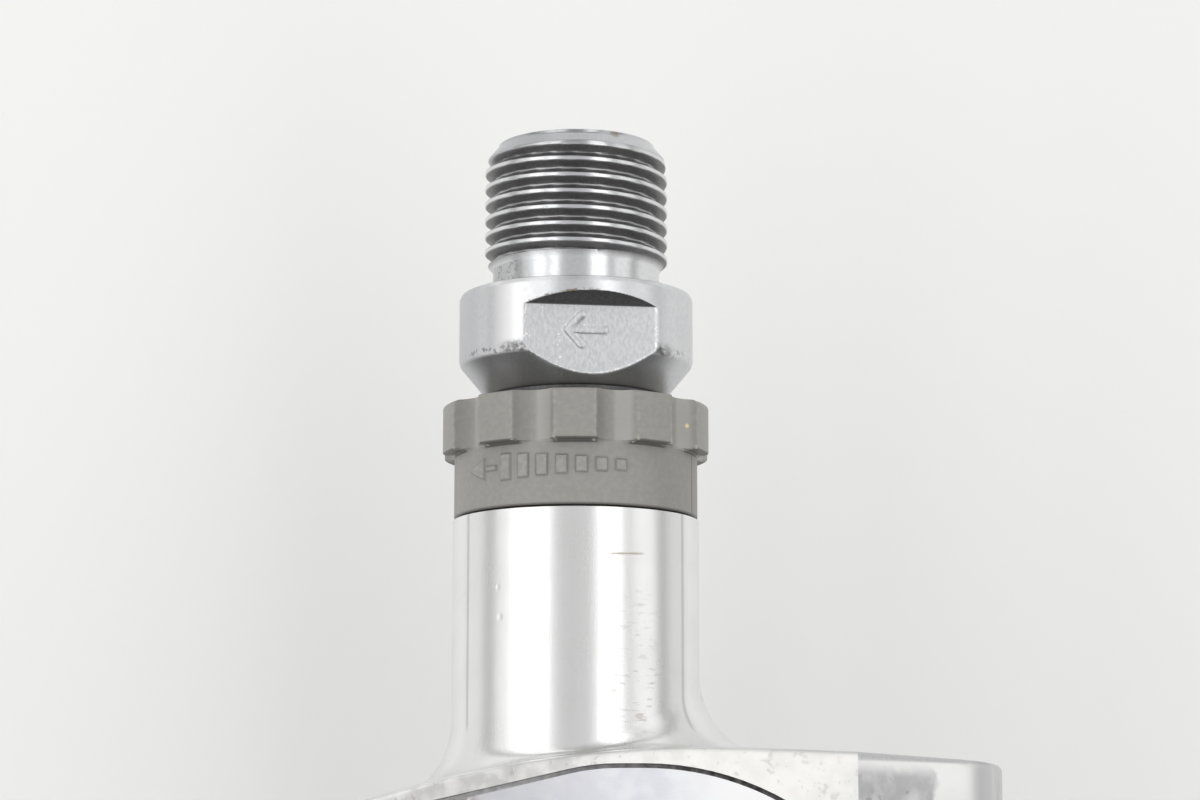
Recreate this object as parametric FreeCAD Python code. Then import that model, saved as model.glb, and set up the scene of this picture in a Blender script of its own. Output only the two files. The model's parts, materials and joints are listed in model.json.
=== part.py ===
"""Left-hand clipless road pedal, in millimetres.

The axle lies along Y with its crank thread towards +Y. The cleat face looks up, along +Z.
The nose points forwards, along -X. The origin is on the axle, in the middle of its crank thread.
Stations along the axle are distances outboard of the face that seats on the crank.
"""

import math
import os

import FreeCAD
import Part

# Axle: crank thread, seat flange and wrench flats
THREAD_RADIUS = 7.14
THREAD_LENGTH = 8.6
NECK_DEPTH = 0.64
NECK_LENGTH = 2.2
TIP_DEPTH = 1.14
TIP_LENGTH = 1.3
FLANGE_RADIUS = 9.1
FLANGE_LENGTH = 5.4
FLANGE_EDGE = 0.5
FLANGE_CONE_LENGTH = 2.7
WRENCH_ACROSS_FLATS = 15.0
FLAT_START = 2.1
FLAT_LEDGE_SLOPE = 1.78
FLAT_TURN = 9.0
CENTRE_DRILL_RADIUS = 1.6
CENTRE_DRILL_DEPTH = 2.2

# Axle: the shaft inside the barrel
SEAL_LAND_END = 13.5
SHAFT_TAPER_LENGTH = 1.8
NUT_THREAD_STEP = 1.0
NUT_THREAD_LENGTH = 5.4

# Fits: a running fit turns, a seat is pressed or screwed together
RUNNING_CLEARANCE = 0.05
SEAT_CLEARANCE = 0.02
ROLLING_CLEARANCE = 0.02

# Lock bolt: splined collar, sleeve and threaded shank
COLLAR_START = 8.9
COLLAR_LENGTH = 3.8
COLLAR_EDGE = 0.35
SPLINE_COUNT = 10
SPLINE_HEIGHT = 1.0
SPLINE_GROOVE_RADIUS = 2.0
SPLINE_GROOVE_STEP = 0.05
SLEEVE_STEP = 0.1
SLEEVE_LENGTH = 4.85
LOCK_SHANK_LENGTH = 7.4
LOCK_SHANK_WALL = 1.2
LOCK_BORE_GAP = 0.5
SEAL_POCKET_DEPTH = 0.9
SEAL_LENGTH = 2.6
SEAL_LIP_WIDTH = 1.0
SEAL_POCKET_START = 0.7

# Barrel of the pedal body, and the tube in it
BARREL_RADIUS = 9.5
BARREL_GAP = 0.2
BARREL_EDGE = 0.45
BARREL_MOUTH_WALL = 0.9
BARREL_END_ROUND = 3.0
BARREL_END_PROUD = 1.3
BARREL_END_WALL = 4.95
TUBE_STEP = 0.4
TUBE_WALL = 1.0
TUBE_SHOULDER_STEP = 0.8
TUBE_SHOULDER_LENGTH = 3.8
NUT_SPACE_STEP = 1.8
NUT_SPACE_LENGTH = 7.2

# Needle bearing
NEEDLE_CUP_INSET = 2.03
NEEDLE_CUP_LENGTH = 12.0
NEEDLE_CUP_WALL = 0.44
NEEDLE_LIP_GAP = 0.45
NEEDLE_RADIUS = 0.8
NEEDLE_LENGTH = 9.0
NEEDLE_COUNT = 14
NEEDLE_CAGE_WALL = 0.9
NEEDLE_CAGE_END = 0.8
CAGE_CLEARANCE = 0.06

# Outboard ball bearing
BALL_BEARING_WIDTH = 5.0
BALL_RADIUS = 0.95
BALL_COUNT = 9
RING_WALL = 1.15
RING_GAP = 0.9
BALL_CAGE_WALL = 0.5
BALL_CAGE_WIDTH = 3.0
WASHER_THICKNESS = 0.8
WASHER_STEP = 0.25
NUT_STEP = 0.9
NUT_THICKNESS = 3.6

# Platform seen from above: half of the outline, as distances from the pedal's centre line
PEDAL_CENTRE_STATION = 54.0
REAR_REACH = 32.4
REAR_HALF_WIDTH = 17.5
WAIST_X = -1.9
WAIST_HALF_WIDTH = 18.85
WAIST_ROUND_LENGTH = 14.4
SHOULDER_X = -21.0
SHOULDER_HALF_WIDTH = 12.6
SHOULDER_ROUND_SHARE = 0.8
NOSE_REACH = 47.0
NOSE_HALF_WIDTH = 9.6
NOSE_ROUND = 7.0
BARREL_FILLET = 6.2
BARREL_FILLET_MARGIN = 0.2
EDGE_ROUND = 0.6

# Platform seen from the side
BED_RISE = 1.5
CLEAT_GAP = 4.4
LIP_THICKNESS = 3.0
LIP_REACH = 4.2
NOSE_WALL = 4.5
NOSE_CREST_INSET = 4.4
NOSE_SLOPE = 0.75
NOSE_TOP_ROUND = 6.0
LIP_ROUND = 1.1
NOSE_SLOT_ROUND = 1.0
RAIL_FOOT_X = -20.0
RAIL_SLOPE = 0.22
FOOT_HEIGHT = -4.6
LUG_LENGTH = 11.7
LUG_SLOPE = 0.488
LUG_TOP_ROUND = 7.5
LUG_END_HEIGHT = 8.8
LUG_FOOT_ROUND = 3.2
LUG_FOOT_LENGTH = 16.9

# Window in the nose, as half widths from the centre line
WINDOW_FRONT_GAP = 5.6
WINDOW_FRONT_HALF_WIDTH = 4.2
WINDOW_REAR_WALL = 4.0
WINDOW_REAR_HALF_WIDTH = 7.8
WINDOW_ROUND = 2.4

# Cover plate in the bed, as half widths from the centre line
COVER_THICKNESS = 1.2
COVER_GAP = 0.35
COVER_RIM = 2.1
COVER_FRONT_X = -14.0
COVER_FRONT_TAPER = 3.6
COVER_FRONT_ROUND = 2.0
COVER_WAIST_ROUND = 16.0
COVER_SIDE_LENGTH = 3.8
COVER_TURN_LENGTH = 14.0
COVER_TURN_RADIUS = 20.5
COVER_REAR_WALL = 2.0
SCREW_SHANK_RADIUS = 1.5
SCREW_HEAD_RADIUS = 2.8
SCREW_LENGTH = 6.4
SCREW_SOCKET_ACROSS = 2.0
SCREW_SOCKET_DEPTH = 1.0
FRONT_SCREW_INSET = 4.3
REAR_SCREW_INSET = 6.6
REAR_SCREW_HALF_SPACING = 9.0

# Rear binding: pivot, lever with claw, springs and tension screw
PIVOT_INSET = 6.9
PIVOT_DEPTH = 9.5
PIN_RADIUS = 2.25
LUG_WIDTH = 4.2
SLOT_AHEAD = 4.3
LEG_LEDGE_GAP = 0.1
LEG_LEDGE_ROOM = 3.6
LEVER_SIDE_GAP = 0.4
LEVER_CHEEK = 3.0
LEVER_EYE_RADIUS = 4.6
LEVER_REAR_WALL = 3.2
LEVER_PROUD = 2.0
LEVER_ROUND = 2.0
LEVER_STOP_GAP = 0.25
LEVER_STOP_DEPTH = 2.8
LEVER_POCKET_RISE = 1.4
CLAW_ROUND = 4.0
CLAW_SETBACK = 2.3
CLAW_REACH = 3.2
SPRING_WIRE_RADIUS = 0.9
SPRING_COIL_RADIUS = 4.2
SPRING_PITCH = 1.9
SPRING_EXTRA_TURN_COUNT = 0.25
SPRING_END_GAP = 0.3
SPRING_WIRE_SIDE_COUNT = 6
SPRING_START = 2.0
SPRING_POCKET_GAP = 1.2
SPRING_LEG_PAST_SCREW = 1.1
SPRING_LOWER_LEG = 11.0
SPRING_SLEEVE_WALL = 0.75
SLEEVE_END_GAP = 0.2
PLATE_THICKNESS = 2.2
PLATE_HEIGHT = 4.4
PLATE_END_GAP = 0.6
PLATE_LEG_GAP = 0.15
TENSION_SCREW_DEPTH = 1.3
TENSION_SCREW_RADIUS = 2.0
TENSION_HEAD_RADIUS = 3.3
TENSION_HEAD_THICKNESS = 2.0
TENSION_SOCKET_ACROSS = 3.0
TENSION_SOCKET_DEPTH = 1.5
TENSION_TIP = 1.0
SCREW_HOLE_CLEARANCE = 0.2

# Taller than everything, for cuts and blanks that run right through
ALL_HEIGHT = 60.0

# Along the axle, from the sizes above
CRANK_FACE_Y = -(NECK_LENGTH + THREAD_LENGTH / 2)
CENTRE_Y = CRANK_FACE_Y - PEDAL_CENTRE_STATION
COLLAR_END = COLLAR_START + COLLAR_LENGTH
SLEEVE_END = COLLAR_END + SLEEVE_LENGTH
BARREL_START = SLEEVE_END + BARREL_GAP
LOCK_SHANK_END = SLEEVE_END + LOCK_SHANK_LENGTH
TUBE_START = LOCK_SHANK_END + SEAT_CLEARANCE
NEEDLE_CUP_START = TUBE_START + NEEDLE_CUP_INSET
BARREL_END = PEDAL_CENTRE_STATION + WAIST_HALF_WIDTH + BARREL_END_PROUD
NUT_SPACE_END = BARREL_END - BARREL_END_WALL
BALL_BEARING_END = NUT_SPACE_END - NUT_SPACE_LENGTH
BALL_BEARING_START = BALL_BEARING_END - BALL_BEARING_WIDTH

# Radii, from the barrel inwards
NECK_RADIUS = THREAD_RADIUS - NECK_DEPTH
TIP_RADIUS = THREAD_RADIUS - TIP_DEPTH
SLEEVE_RADIUS = BARREL_RADIUS - SLEEVE_STEP
COLLAR_RADIUS = SLEEVE_RADIUS + SPLINE_HEIGHT
SPLINE_GROOVE_DEPTH = SPLINE_HEIGHT - SPLINE_GROOVE_STEP
LOCK_SHANK_RADIUS = BARREL_RADIUS - BARREL_MOUTH_WALL
LOCK_BORE_RADIUS = LOCK_SHANK_RADIUS - LOCK_SHANK_WALL
SEAL_POCKET_RADIUS = LOCK_BORE_RADIUS + SEAL_POCKET_DEPTH
SEAL_LAND_RADIUS = LOCK_BORE_RADIUS - LOCK_BORE_GAP
TUBE_RADIUS = LOCK_SHANK_RADIUS - TUBE_STEP
TUBE_BORE_RADIUS = TUBE_RADIUS - TUBE_WALL
TUBE_SHOULDER_RADIUS = TUBE_BORE_RADIUS - TUBE_SHOULDER_STEP
NUT_SPACE_RADIUS = TUBE_RADIUS - NUT_SPACE_STEP
NEEDLE_TRACK_RADIUS = TUBE_BORE_RADIUS - SEAT_CLEARANCE - NEEDLE_CUP_WALL
NEEDLE_CIRCLE_RADIUS = NEEDLE_TRACK_RADIUS - ROLLING_CLEARANCE - NEEDLE_RADIUS
SHAFT_RADIUS = NEEDLE_CIRCLE_RADIUS - NEEDLE_RADIUS - ROLLING_CLEARANCE
NEEDLE_LIP_RADIUS = SHAFT_RADIUS + NEEDLE_LIP_GAP
OUTER_RING_BORE_RADIUS = TUBE_BORE_RADIUS - RING_WALL
INNER_RING_RADIUS = OUTER_RING_BORE_RADIUS - RING_GAP
INNER_RING_SEAT_RADIUS = INNER_RING_RADIUS - RING_WALL
BALL_CIRCLE_RADIUS = (INNER_RING_RADIUS + OUTER_RING_BORE_RADIUS) / 2
NUT_THREAD_RADIUS = INNER_RING_SEAT_RADIUS - NUT_THREAD_STEP
WASHER_RADIUS = INNER_RING_RADIUS - WASHER_STEP
NUT_ACROSS_FLATS = 2 * (WASHER_RADIUS - NUT_STEP)

# Places on the platform, from its rear end, its nose and its bed
BED_HEIGHT = BARREL_RADIUS + BED_RISE
PIVOT_X = REAR_REACH - PIVOT_INSET
PIVOT_HEIGHT = BED_HEIGHT - PIVOT_DEPTH
SLOT_FRONT_X = PIVOT_X - SLOT_AHEAD
LUG_BEND_X = REAR_REACH - LUG_LENGTH
LUG_FOOT_X = REAR_REACH - LUG_FOOT_LENGTH
LUG_TOP_HEIGHT = BED_HEIGHT - LUG_LENGTH * LUG_SLOPE
NOSE_CREST_X = NOSE_CREST_INSET - NOSE_REACH
LIP_UNDERSIDE = BED_HEIGHT + CLEAT_GAP
LIP_TOP = LIP_UNDERSIDE + LIP_THICKNESS
BARREL_TOP_FILLET = BED_RISE - EDGE_ROUND - BARREL_FILLET_MARGIN
COVER_HALF_WIDTH = WAIST_HALF_WIDTH - COVER_RIM
COVER_FRONT_HALF_WIDTH = COVER_HALF_WIDTH - COVER_FRONT_TAPER
COVER_REAR_X = SLOT_FRONT_X - COVER_REAR_WALL
COVER_TURN_START_X = COVER_REAR_X - COVER_TURN_LENGTH
COVER_WAIST_X = COVER_TURN_START_X - COVER_SIDE_LENGTH
FRONT_SCREW_X = COVER_FRONT_X + FRONT_SCREW_INSET
REAR_SCREW_X = COVER_REAR_X - REAR_SCREW_INSET
WINDOW_REAR_X = COVER_FRONT_X - WINDOW_REAR_WALL

# Places in the binding
SLOT_HALF_WIDTH = REAR_HALF_WIDTH - LUG_WIDTH
LEVER_HALF_WIDTH = SLOT_HALF_WIDTH - LEVER_SIDE_GAP
LEVER_REAR_X = REAR_REACH + LEVER_PROUD
LEVER_STOP_HEIGHT = BED_HEIGHT - LEVER_STOP_DEPTH
LEVER_POCKET_TOP = BED_HEIGHT + LEVER_POCKET_RISE
CLAW_FACE_X = PIVOT_X + CLAW_SETBACK
POCKET_HALF_WIDTH = LEVER_HALF_WIDTH - LEVER_CHEEK
POCKET_REAR_X = LEVER_REAR_X - LEVER_REAR_WALL
TENSION_SCREW_HEIGHT = BED_HEIGHT - TENSION_SCREW_DEPTH
SPRING_POCKET_RADIUS = SPRING_COIL_RADIUS + SPRING_WIRE_RADIUS + SPRING_POCKET_GAP
SPRING_ROOM = POCKET_HALF_WIDTH - SPRING_START - SPRING_WIRE_RADIUS - SPRING_END_GAP
SPRING_FULL_TURNS = math.floor(SPRING_ROOM / SPRING_PITCH - SPRING_EXTRA_TURN_COUNT)
SPRING_TURNS = SPRING_FULL_TURNS + SPRING_EXTRA_TURN_COUNT
SPRING_UPPER_LEG = TENSION_SCREW_HEIGHT - PIVOT_HEIGHT + SPRING_LEG_PAST_SCREW
LEG_LEDGE_X = PIVOT_X - SPRING_LOWER_LEG - LEG_LEDGE_ROOM
LEG_LEDGE_HEIGHT = PIVOT_HEIGHT - SPRING_COIL_RADIUS + SPRING_WIRE_RADIUS + LEG_LEDGE_GAP
UPPER_LEG_X = PIVOT_X + SPRING_COIL_RADIUS
PLATE_REAR_X = UPPER_LEG_X - SPRING_WIRE_RADIUS - PLATE_LEG_GAP


def station(distance):
    """The Y of a point that far outboard of the crank face."""
    return CRANK_FACE_Y - distance


def rounded_wire(corners, to_point):
    """A closed wire through (a, b, radius) corners. Each corner with a radius becomes a tangent arc."""
    plane_points = [FreeCAD.Vector(a, b, 0) for a, b, _ in corners]
    count = len(corners)
    runs = []
    for i, (_, _, radius) in enumerate(corners):
        corner = plane_points[i]
        back = (plane_points[i - 1] - corner).normalize()
        ahead = (plane_points[(i + 1) % count] - corner).normalize()
        if radius <= 0:
            runs.append((corner, None, corner))
            continue
        half_angle = back.getAngle(ahead) / 2
        tangent = radius / math.tan(half_angle)
        middle_way = (back + ahead).normalize()
        middle = corner + middle_way * (radius / math.sin(half_angle) - radius)
        runs.append((corner + back * tangent, middle, corner + ahead * tangent))
    edges = []
    for i, (start, middle, end) in enumerate(runs):
        if middle is not None:
            edges.append(Part.Arc(*(to_point(p.x, p.y) for p in (start, middle, end))).toShape())
        following = runs[(i + 1) % count][0]
        if (following - end).Length > 1e-6:
            straight = Part.LineSegment(to_point(end.x, end.y), to_point(following.x, following.y))
            edges.append(straight.toShape())
    return Part.Wire(Part.__sortEdges__(edges))


def plan_solid(corners, low, high):
    """A solid between two heights, its outline seen from above in X and distance from the centre line."""
    wire = rounded_wire(corners, lambda x, across: FreeCAD.Vector(x, CENTRE_Y + across, low))
    return Part.Face(wire).extrude(FreeCAD.Vector(0, 0, high - low))


def side_solid(corners, half_width):
    """A solid with an outline seen from the side, in X and height, equally wide each side of the centre."""
    wire = rounded_wire(corners, lambda x, height: FreeCAD.Vector(x, CENTRE_Y - half_width, height))
    return Part.Face(wire).extrude(FreeCAD.Vector(0, 2 * half_width, 0))


def mirrored(half):
    """A whole outline from its half, given as (x, half width, radius) from rear to nose."""
    return half + [(x, -width, radius) for x, width, radius in reversed(half)]


def turned(profile):
    """A solid of revolution about the axle, from (station, radius) points."""
    points = [FreeCAD.Vector(0, station(along), radius) for along, radius in profile]
    wire = Part.makePolygon(points + points[:1])
    return Part.Face(wire).revolve(FreeCAD.Vector(0, 0, 0), FreeCAD.Vector(0, 1, 0), 360)


def ring(start, end, inner_radius, outer_radius):
    """A plain ring or tube on the axle between two stations."""
    return turned([(start, inner_radius), (end, inner_radius), (end, outer_radius), (start, outer_radius)])


def rod_on_axle(start, end, radius):
    """A solid rod on the axle between two stations."""
    base = FreeCAD.Vector(0, station(end), 0)
    return Part.makeCylinder(radius, end - start, base, FreeCAD.Vector(0, 1, 0))


def cross_rod(half_length, radius, x=PIVOT_X, height=PIVOT_HEIGHT):
    """A rod parallel to the axle, centred on the pedal's centre line."""
    foot = FreeCAD.Vector(x, CENTRE_Y - half_length, height)
    return Part.makeCylinder(radius, 2 * half_length, foot, FreeCAD.Vector(0, 1, 0))


def rod_along_x(start, end, radius, height):
    """A rod along X on the pedal's centre line."""
    base = FreeCAD.Vector(start, CENTRE_Y, height)
    return Part.makeCylinder(radius, end - start, base, FreeCAD.Vector(1, 0, 0))


def block(x_low, x_high, half_width, low, high):
    """A box centred on the pedal's centre line."""
    corner = FreeCAD.Vector(x_low, CENTRE_Y - half_width, low)
    return Part.makeBox(x_high - x_low, 2 * half_width, high - low, corner)


def hexagon_prism(across_flats, length, foot, direction):
    """A hexagonal prism that stands on a point and runs along a direction."""
    corner_radius = across_flats / math.sqrt(3)
    steps = [math.radians(60 * i) for i in range(6)]
    points = [FreeCAD.Vector(corner_radius * math.cos(a), corner_radius * math.sin(a), 0) for a in steps]
    prism = Part.Face(Part.makePolygon(points + points[:1])).extrude(FreeCAD.Vector(0, 0, length))
    prism.Placement = FreeCAD.Placement(foot, FreeCAD.Rotation(FreeCAD.Vector(0, 0, 1), direction))
    return prism


def around_axle(shape, count):
    """Equal copies of a shape, evenly spaced round the axle."""
    copies = []
    for i in range(count):
        copy = shape.copy()
        copy.rotate(FreeCAD.Vector(0, 0, 0), FreeCAD.Vector(0, 1, 0), 360 * i / count)
        copies.append(copy)
    return copies


def groove_ring(radius):
    """The ring swept by a ball's circle: a torus on the axle in the middle of the ball bearing."""
    middle = station((BALL_BEARING_START + BALL_BEARING_END) / 2)
    return Part.makeTorus(BALL_CIRCLE_RADIUS, radius, FreeCAD.Vector(0, middle, 0), FreeCAD.Vector(0, 1, 0))


def make_axle():
    """Forged axle: thread, neck, flange with two wrench flats, seal land, bearing seats and nut thread."""
    cone_end = FLANGE_LENGTH + FLANGE_CONE_LENGTH
    tip_end = NECK_LENGTH + THREAD_LENGTH + TIP_LENGTH
    nut_thread_end = BALL_BEARING_END + NUT_THREAD_LENGTH
    axle = turned(
        [
            (-tip_end, 0),
            (-tip_end, TIP_RADIUS),
            (-NECK_LENGTH - THREAD_LENGTH, THREAD_RADIUS),
            (-NECK_LENGTH, THREAD_RADIUS),
            (-NECK_LENGTH, NECK_RADIUS),
            (0, NECK_RADIUS),
            (0, FLANGE_RADIUS - FLANGE_EDGE),
            (FLANGE_EDGE, FLANGE_RADIUS),
            (FLANGE_LENGTH, FLANGE_RADIUS),
            (cone_end, SEAL_LAND_RADIUS),
            (SEAL_LAND_END, SEAL_LAND_RADIUS),
            (SEAL_LAND_END + SHAFT_TAPER_LENGTH, SHAFT_RADIUS),
            (BALL_BEARING_START, SHAFT_RADIUS),
            (BALL_BEARING_START, INNER_RING_SEAT_RADIUS),
            (BALL_BEARING_END, INNER_RING_SEAT_RADIUS),
            (BALL_BEARING_END, NUT_THREAD_RADIUS),
            (nut_thread_end, NUT_THREAD_RADIUS),
            (nut_thread_end, 0),
        ]
    )
    flat = WRENCH_ACROSS_FLATS / 2
    outside = FLANGE_RADIUS + 1
    flat_section = [
        (FLAT_START, flat),
        (FLAT_START - (outside - flat) / FLAT_LEDGE_SLOPE, outside),
        (cone_end, outside),
        (cone_end, flat),
    ]
    points = [FreeCAD.Vector(-outside, station(along), out) for along, out in flat_section]
    cutter = Part.Face(Part.makePolygon(points + points[:1])).extrude(FreeCAD.Vector(2 * outside, 0, 0))
    for half_turn in (0, 180):
        side = cutter.copy()
        side.rotate(FreeCAD.Vector(0, 0, 0), FreeCAD.Vector(0, 1, 0), FLAT_TURN + half_turn)
        axle = axle.cut(side)
    drill_mouth = FreeCAD.Vector(0, station(-tip_end), 0)
    drill = Part.makeCone(CENTRE_DRILL_RADIUS, 0, CENTRE_DRILL_DEPTH, drill_mouth, FreeCAD.Vector(0, -1, 0))
    return axle.cut(drill)


def make_lock_bolt():
    """Moulded lock bolt: splined collar, plain sleeve and the shank that screws into the barrel."""
    pocket_start = COLLAR_START + SEAL_POCKET_START
    pocket_end = pocket_start + SEAL_LENGTH
    bolt = turned(
        [
            (COLLAR_START, LOCK_BORE_RADIUS),
            (COLLAR_START, COLLAR_RADIUS - COLLAR_EDGE),
            (COLLAR_START + COLLAR_EDGE, COLLAR_RADIUS),
            (COLLAR_END, COLLAR_RADIUS),
            (COLLAR_END, SLEEVE_RADIUS),
            (SLEEVE_END, SLEEVE_RADIUS),
            (SLEEVE_END, LOCK_SHANK_RADIUS - SEAT_CLEARANCE),
            (LOCK_SHANK_END, LOCK_SHANK_RADIUS - SEAT_CLEARANCE),
            (LOCK_SHANK_END, LOCK_BORE_RADIUS),
            (pocket_end, LOCK_BORE_RADIUS),
            (pocket_end, SEAL_POCKET_RADIUS),
            (pocket_start, SEAL_POCKET_RADIUS),
            (pocket_start, LOCK_BORE_RADIUS),
        ]
    )
    centre_radius = COLLAR_RADIUS - SPLINE_GROOVE_DEPTH + SPLINE_GROOVE_RADIUS
    foot = FreeCAD.Vector(0, station(COLLAR_END), centre_radius)
    groove = Part.makeCylinder(SPLINE_GROOVE_RADIUS, COLLAR_LENGTH, foot, FreeCAD.Vector(0, 1, 0))
    groove.rotate(FreeCAD.Vector(0, 0, 0), FreeCAD.Vector(0, 1, 0), 180 / SPLINE_COUNT)
    return bolt.cut(around_axle(groove, SPLINE_COUNT))


def make_dust_seal():
    """Rubber seal in the lock bolt's mouth, with a lip that runs on the axle's land."""
    start = COLLAR_START + SEAL_POCKET_START
    outer = SEAL_POCKET_RADIUS - SEAT_CLEARANCE
    lip = SEAL_LAND_RADIUS + RUNNING_CLEARANCE
    return turned(
        [
            (start, lip),
            (start + SEAL_LIP_WIDTH, lip),
            (start + SEAL_LENGTH, LOCK_BORE_RADIUS),
            (start + SEAL_LENGTH, outer),
            (start, outer),
        ]
    )


def make_axle_tube():
    """Steel tube that carries both bearings and is held in the barrel by the lock bolt."""
    outer = TUBE_RADIUS - SEAT_CLEARANCE
    shoulder_start = BALL_BEARING_START - TUBE_SHOULDER_LENGTH
    return turned(
        [
            (TUBE_START, TUBE_BORE_RADIUS),
            (TUBE_START, outer),
            (BALL_BEARING_END, outer),
            (BALL_BEARING_END, TUBE_BORE_RADIUS),
            (BALL_BEARING_START, TUBE_BORE_RADIUS),
            (BALL_BEARING_START, TUBE_SHOULDER_RADIUS),
            (shoulder_start, TUBE_SHOULDER_RADIUS),
            (shoulder_start, TUBE_BORE_RADIUS),
        ]
    )


def make_needle_cup():
    """Drawn cup of the needle bearing, with a lip at each end."""
    end = NEEDLE_CUP_START + NEEDLE_CUP_LENGTH
    outer = TUBE_BORE_RADIUS - SEAT_CLEARANCE
    track = NEEDLE_TRACK_RADIUS
    return turned(
        [
            (NEEDLE_CUP_START, NEEDLE_LIP_RADIUS),
            (NEEDLE_CUP_START, outer),
            (end, outer),
            (end, NEEDLE_LIP_RADIUS),
            (end - NEEDLE_CUP_WALL, NEEDLE_LIP_RADIUS),
            (end - NEEDLE_CUP_WALL, track),
            (NEEDLE_CUP_START + NEEDLE_CUP_WALL, track),
            (NEEDLE_CUP_START + NEEDLE_CUP_WALL, NEEDLE_LIP_RADIUS),
        ]
    )


def one_needle(radius, length):
    """A needle-shaped rod at the top of the needle circle, in the middle of the cup."""
    middle = NEEDLE_CUP_START + NEEDLE_CUP_LENGTH / 2
    foot = FreeCAD.Vector(0, station(middle + length / 2), NEEDLE_CIRCLE_RADIUS)
    return Part.makeCylinder(radius, length, foot, FreeCAD.Vector(0, 1, 0))


def make_needle_rollers():
    """The needles, which roll between the shaft and the drawn cup."""
    return Part.makeCompound(around_axle(one_needle(NEEDLE_RADIUS, NEEDLE_LENGTH), NEEDLE_COUNT))


def make_needle_cage():
    """Cage that keeps the needles apart, with a window for each."""
    middle = NEEDLE_CUP_START + NEEDLE_CUP_LENGTH / 2
    half_length = NEEDLE_LENGTH / 2 + NEEDLE_CAGE_END
    inner = NEEDLE_CIRCLE_RADIUS - NEEDLE_CAGE_WALL / 2
    cage = ring(middle - half_length, middle + half_length, inner, inner + NEEDLE_CAGE_WALL)
    window = one_needle(NEEDLE_RADIUS + CAGE_CLEARANCE, NEEDLE_LENGTH + 2 * CAGE_CLEARANCE)
    return cage.cut(around_axle(window, NEEDLE_COUNT))


def make_bearing_outer_ring():
    """Outer ring of the ball bearing, seated in the axle tube."""
    outer = TUBE_BORE_RADIUS - SEAT_CLEARANCE
    blank = ring(BALL_BEARING_START, BALL_BEARING_END, OUTER_RING_BORE_RADIUS, outer)
    return blank.cut(groove_ring(BALL_RADIUS + ROLLING_CLEARANCE))


def make_bearing_inner_ring():
    """Inner ring of the ball bearing, clamped on the axle by the lock nut."""
    bore = INNER_RING_SEAT_RADIUS + SEAT_CLEARANCE
    blank = ring(BALL_BEARING_START, BALL_BEARING_END, bore, INNER_RING_RADIUS)
    return blank.cut(groove_ring(BALL_RADIUS + ROLLING_CLEARANCE))


def one_ball(radius):
    """A ball at the top of the ball circle."""
    middle = station((BALL_BEARING_START + BALL_BEARING_END) / 2)
    return Part.makeSphere(radius, FreeCAD.Vector(0, middle, BALL_CIRCLE_RADIUS))


def make_bearing_balls():
    """The balls of the outboard bearing."""
    return Part.makeCompound(around_axle(one_ball(BALL_RADIUS), BALL_COUNT))


def make_bearing_cage():
    """Cage that keeps the balls apart."""
    middle = (BALL_BEARING_START + BALL_BEARING_END) / 2
    inner = BALL_CIRCLE_RADIUS - BALL_CAGE_WALL / 2
    blank = ring(middle - BALL_CAGE_WIDTH / 2, middle + BALL_CAGE_WIDTH / 2, inner, inner + BALL_CAGE_WALL)
    pocket_foot = FreeCAD.Vector(0, station(middle), 0)
    pocket = Part.makeCylinder(
        BALL_RADIUS + CAGE_CLEARANCE, OUTER_RING_BORE_RADIUS, pocket_foot, FreeCAD.Vector(0, 0, 1)
    )
    return blank.cut(around_axle(pocket, BALL_COUNT))


def make_lock_washer():
    """Washer between the inner ring and the lock nut."""
    bore = NUT_THREAD_RADIUS + SEAT_CLEARANCE
    return ring(BALL_BEARING_END, BALL_BEARING_END + WASHER_THICKNESS, bore, WASHER_RADIUS)


def make_lock_nut():
    """Hexagon nut on the outboard end of the axle."""
    start = BALL_BEARING_END + WASHER_THICKNESS
    foot = FreeCAD.Vector(0, station(start), 0)
    nut = hexagon_prism(NUT_ACROSS_FLATS, NUT_THICKNESS, foot, FreeCAD.Vector(0, -1, 0))
    return nut.cut(rod_on_axle(start, start + NUT_THICKNESS, NUT_THREAD_RADIUS + SEAT_CLEARANCE))


def cover_outline(grow):
    """Half of the cover plate's outline, grown all round by a gap. A wide arc turns into the rear edge."""
    half_width = COVER_HALF_WIDTH + grow
    radius = COVER_TURN_RADIUS + grow
    rear_x = COVER_REAR_X + grow
    turn = math.asin((rear_x - COVER_TURN_START_X) / radius)
    return [
        (rear_x, half_width - radius * (1 - math.cos(turn)), 0),
        (COVER_TURN_START_X + radius * math.tan(turn / 2), half_width, radius),
        (COVER_WAIST_X, half_width, COVER_WAIST_ROUND),
        (COVER_FRONT_X - grow, COVER_FRONT_HALF_WIDTH + grow, COVER_FRONT_ROUND),
    ]


def screw_places():
    """X and distance from the centre line of the three cover screws."""
    return [
        (FRONT_SCREW_X, 0),
        (REAR_SCREW_X, REAR_SCREW_HALF_SPACING),
        (REAR_SCREW_X, -REAR_SCREW_HALF_SPACING),
    ]


def countersunk_rod(x, across, grow):
    """A countersunk screw's outer shape with its head level with the bed, grown by a clearance."""
    head_depth = SCREW_HEAD_RADIUS - SCREW_SHANK_RADIUS
    foot = FreeCAD.Vector(x, CENTRE_Y + across, BED_HEIGHT)
    down = FreeCAD.Vector(0, 0, -1)
    head = Part.makeCone(SCREW_HEAD_RADIUS + grow, SCREW_SHANK_RADIUS + grow, head_depth, foot, down)
    shank = Part.makeCylinder(SCREW_SHANK_RADIUS + grow, SCREW_LENGTH + grow, foot, down)
    return head.fuse(shank).removeSplitter()


def make_cover_plate():
    """Stainless wear plate that lies flush in the bed, under the cleat."""
    plate = plan_solid(mirrored(cover_outline(0)), BED_HEIGHT - COVER_THICKNESS, BED_HEIGHT)
    return plate.cut([countersunk_rod(x, across, SEAT_CLEARANCE) for x, across in screw_places()])


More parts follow.
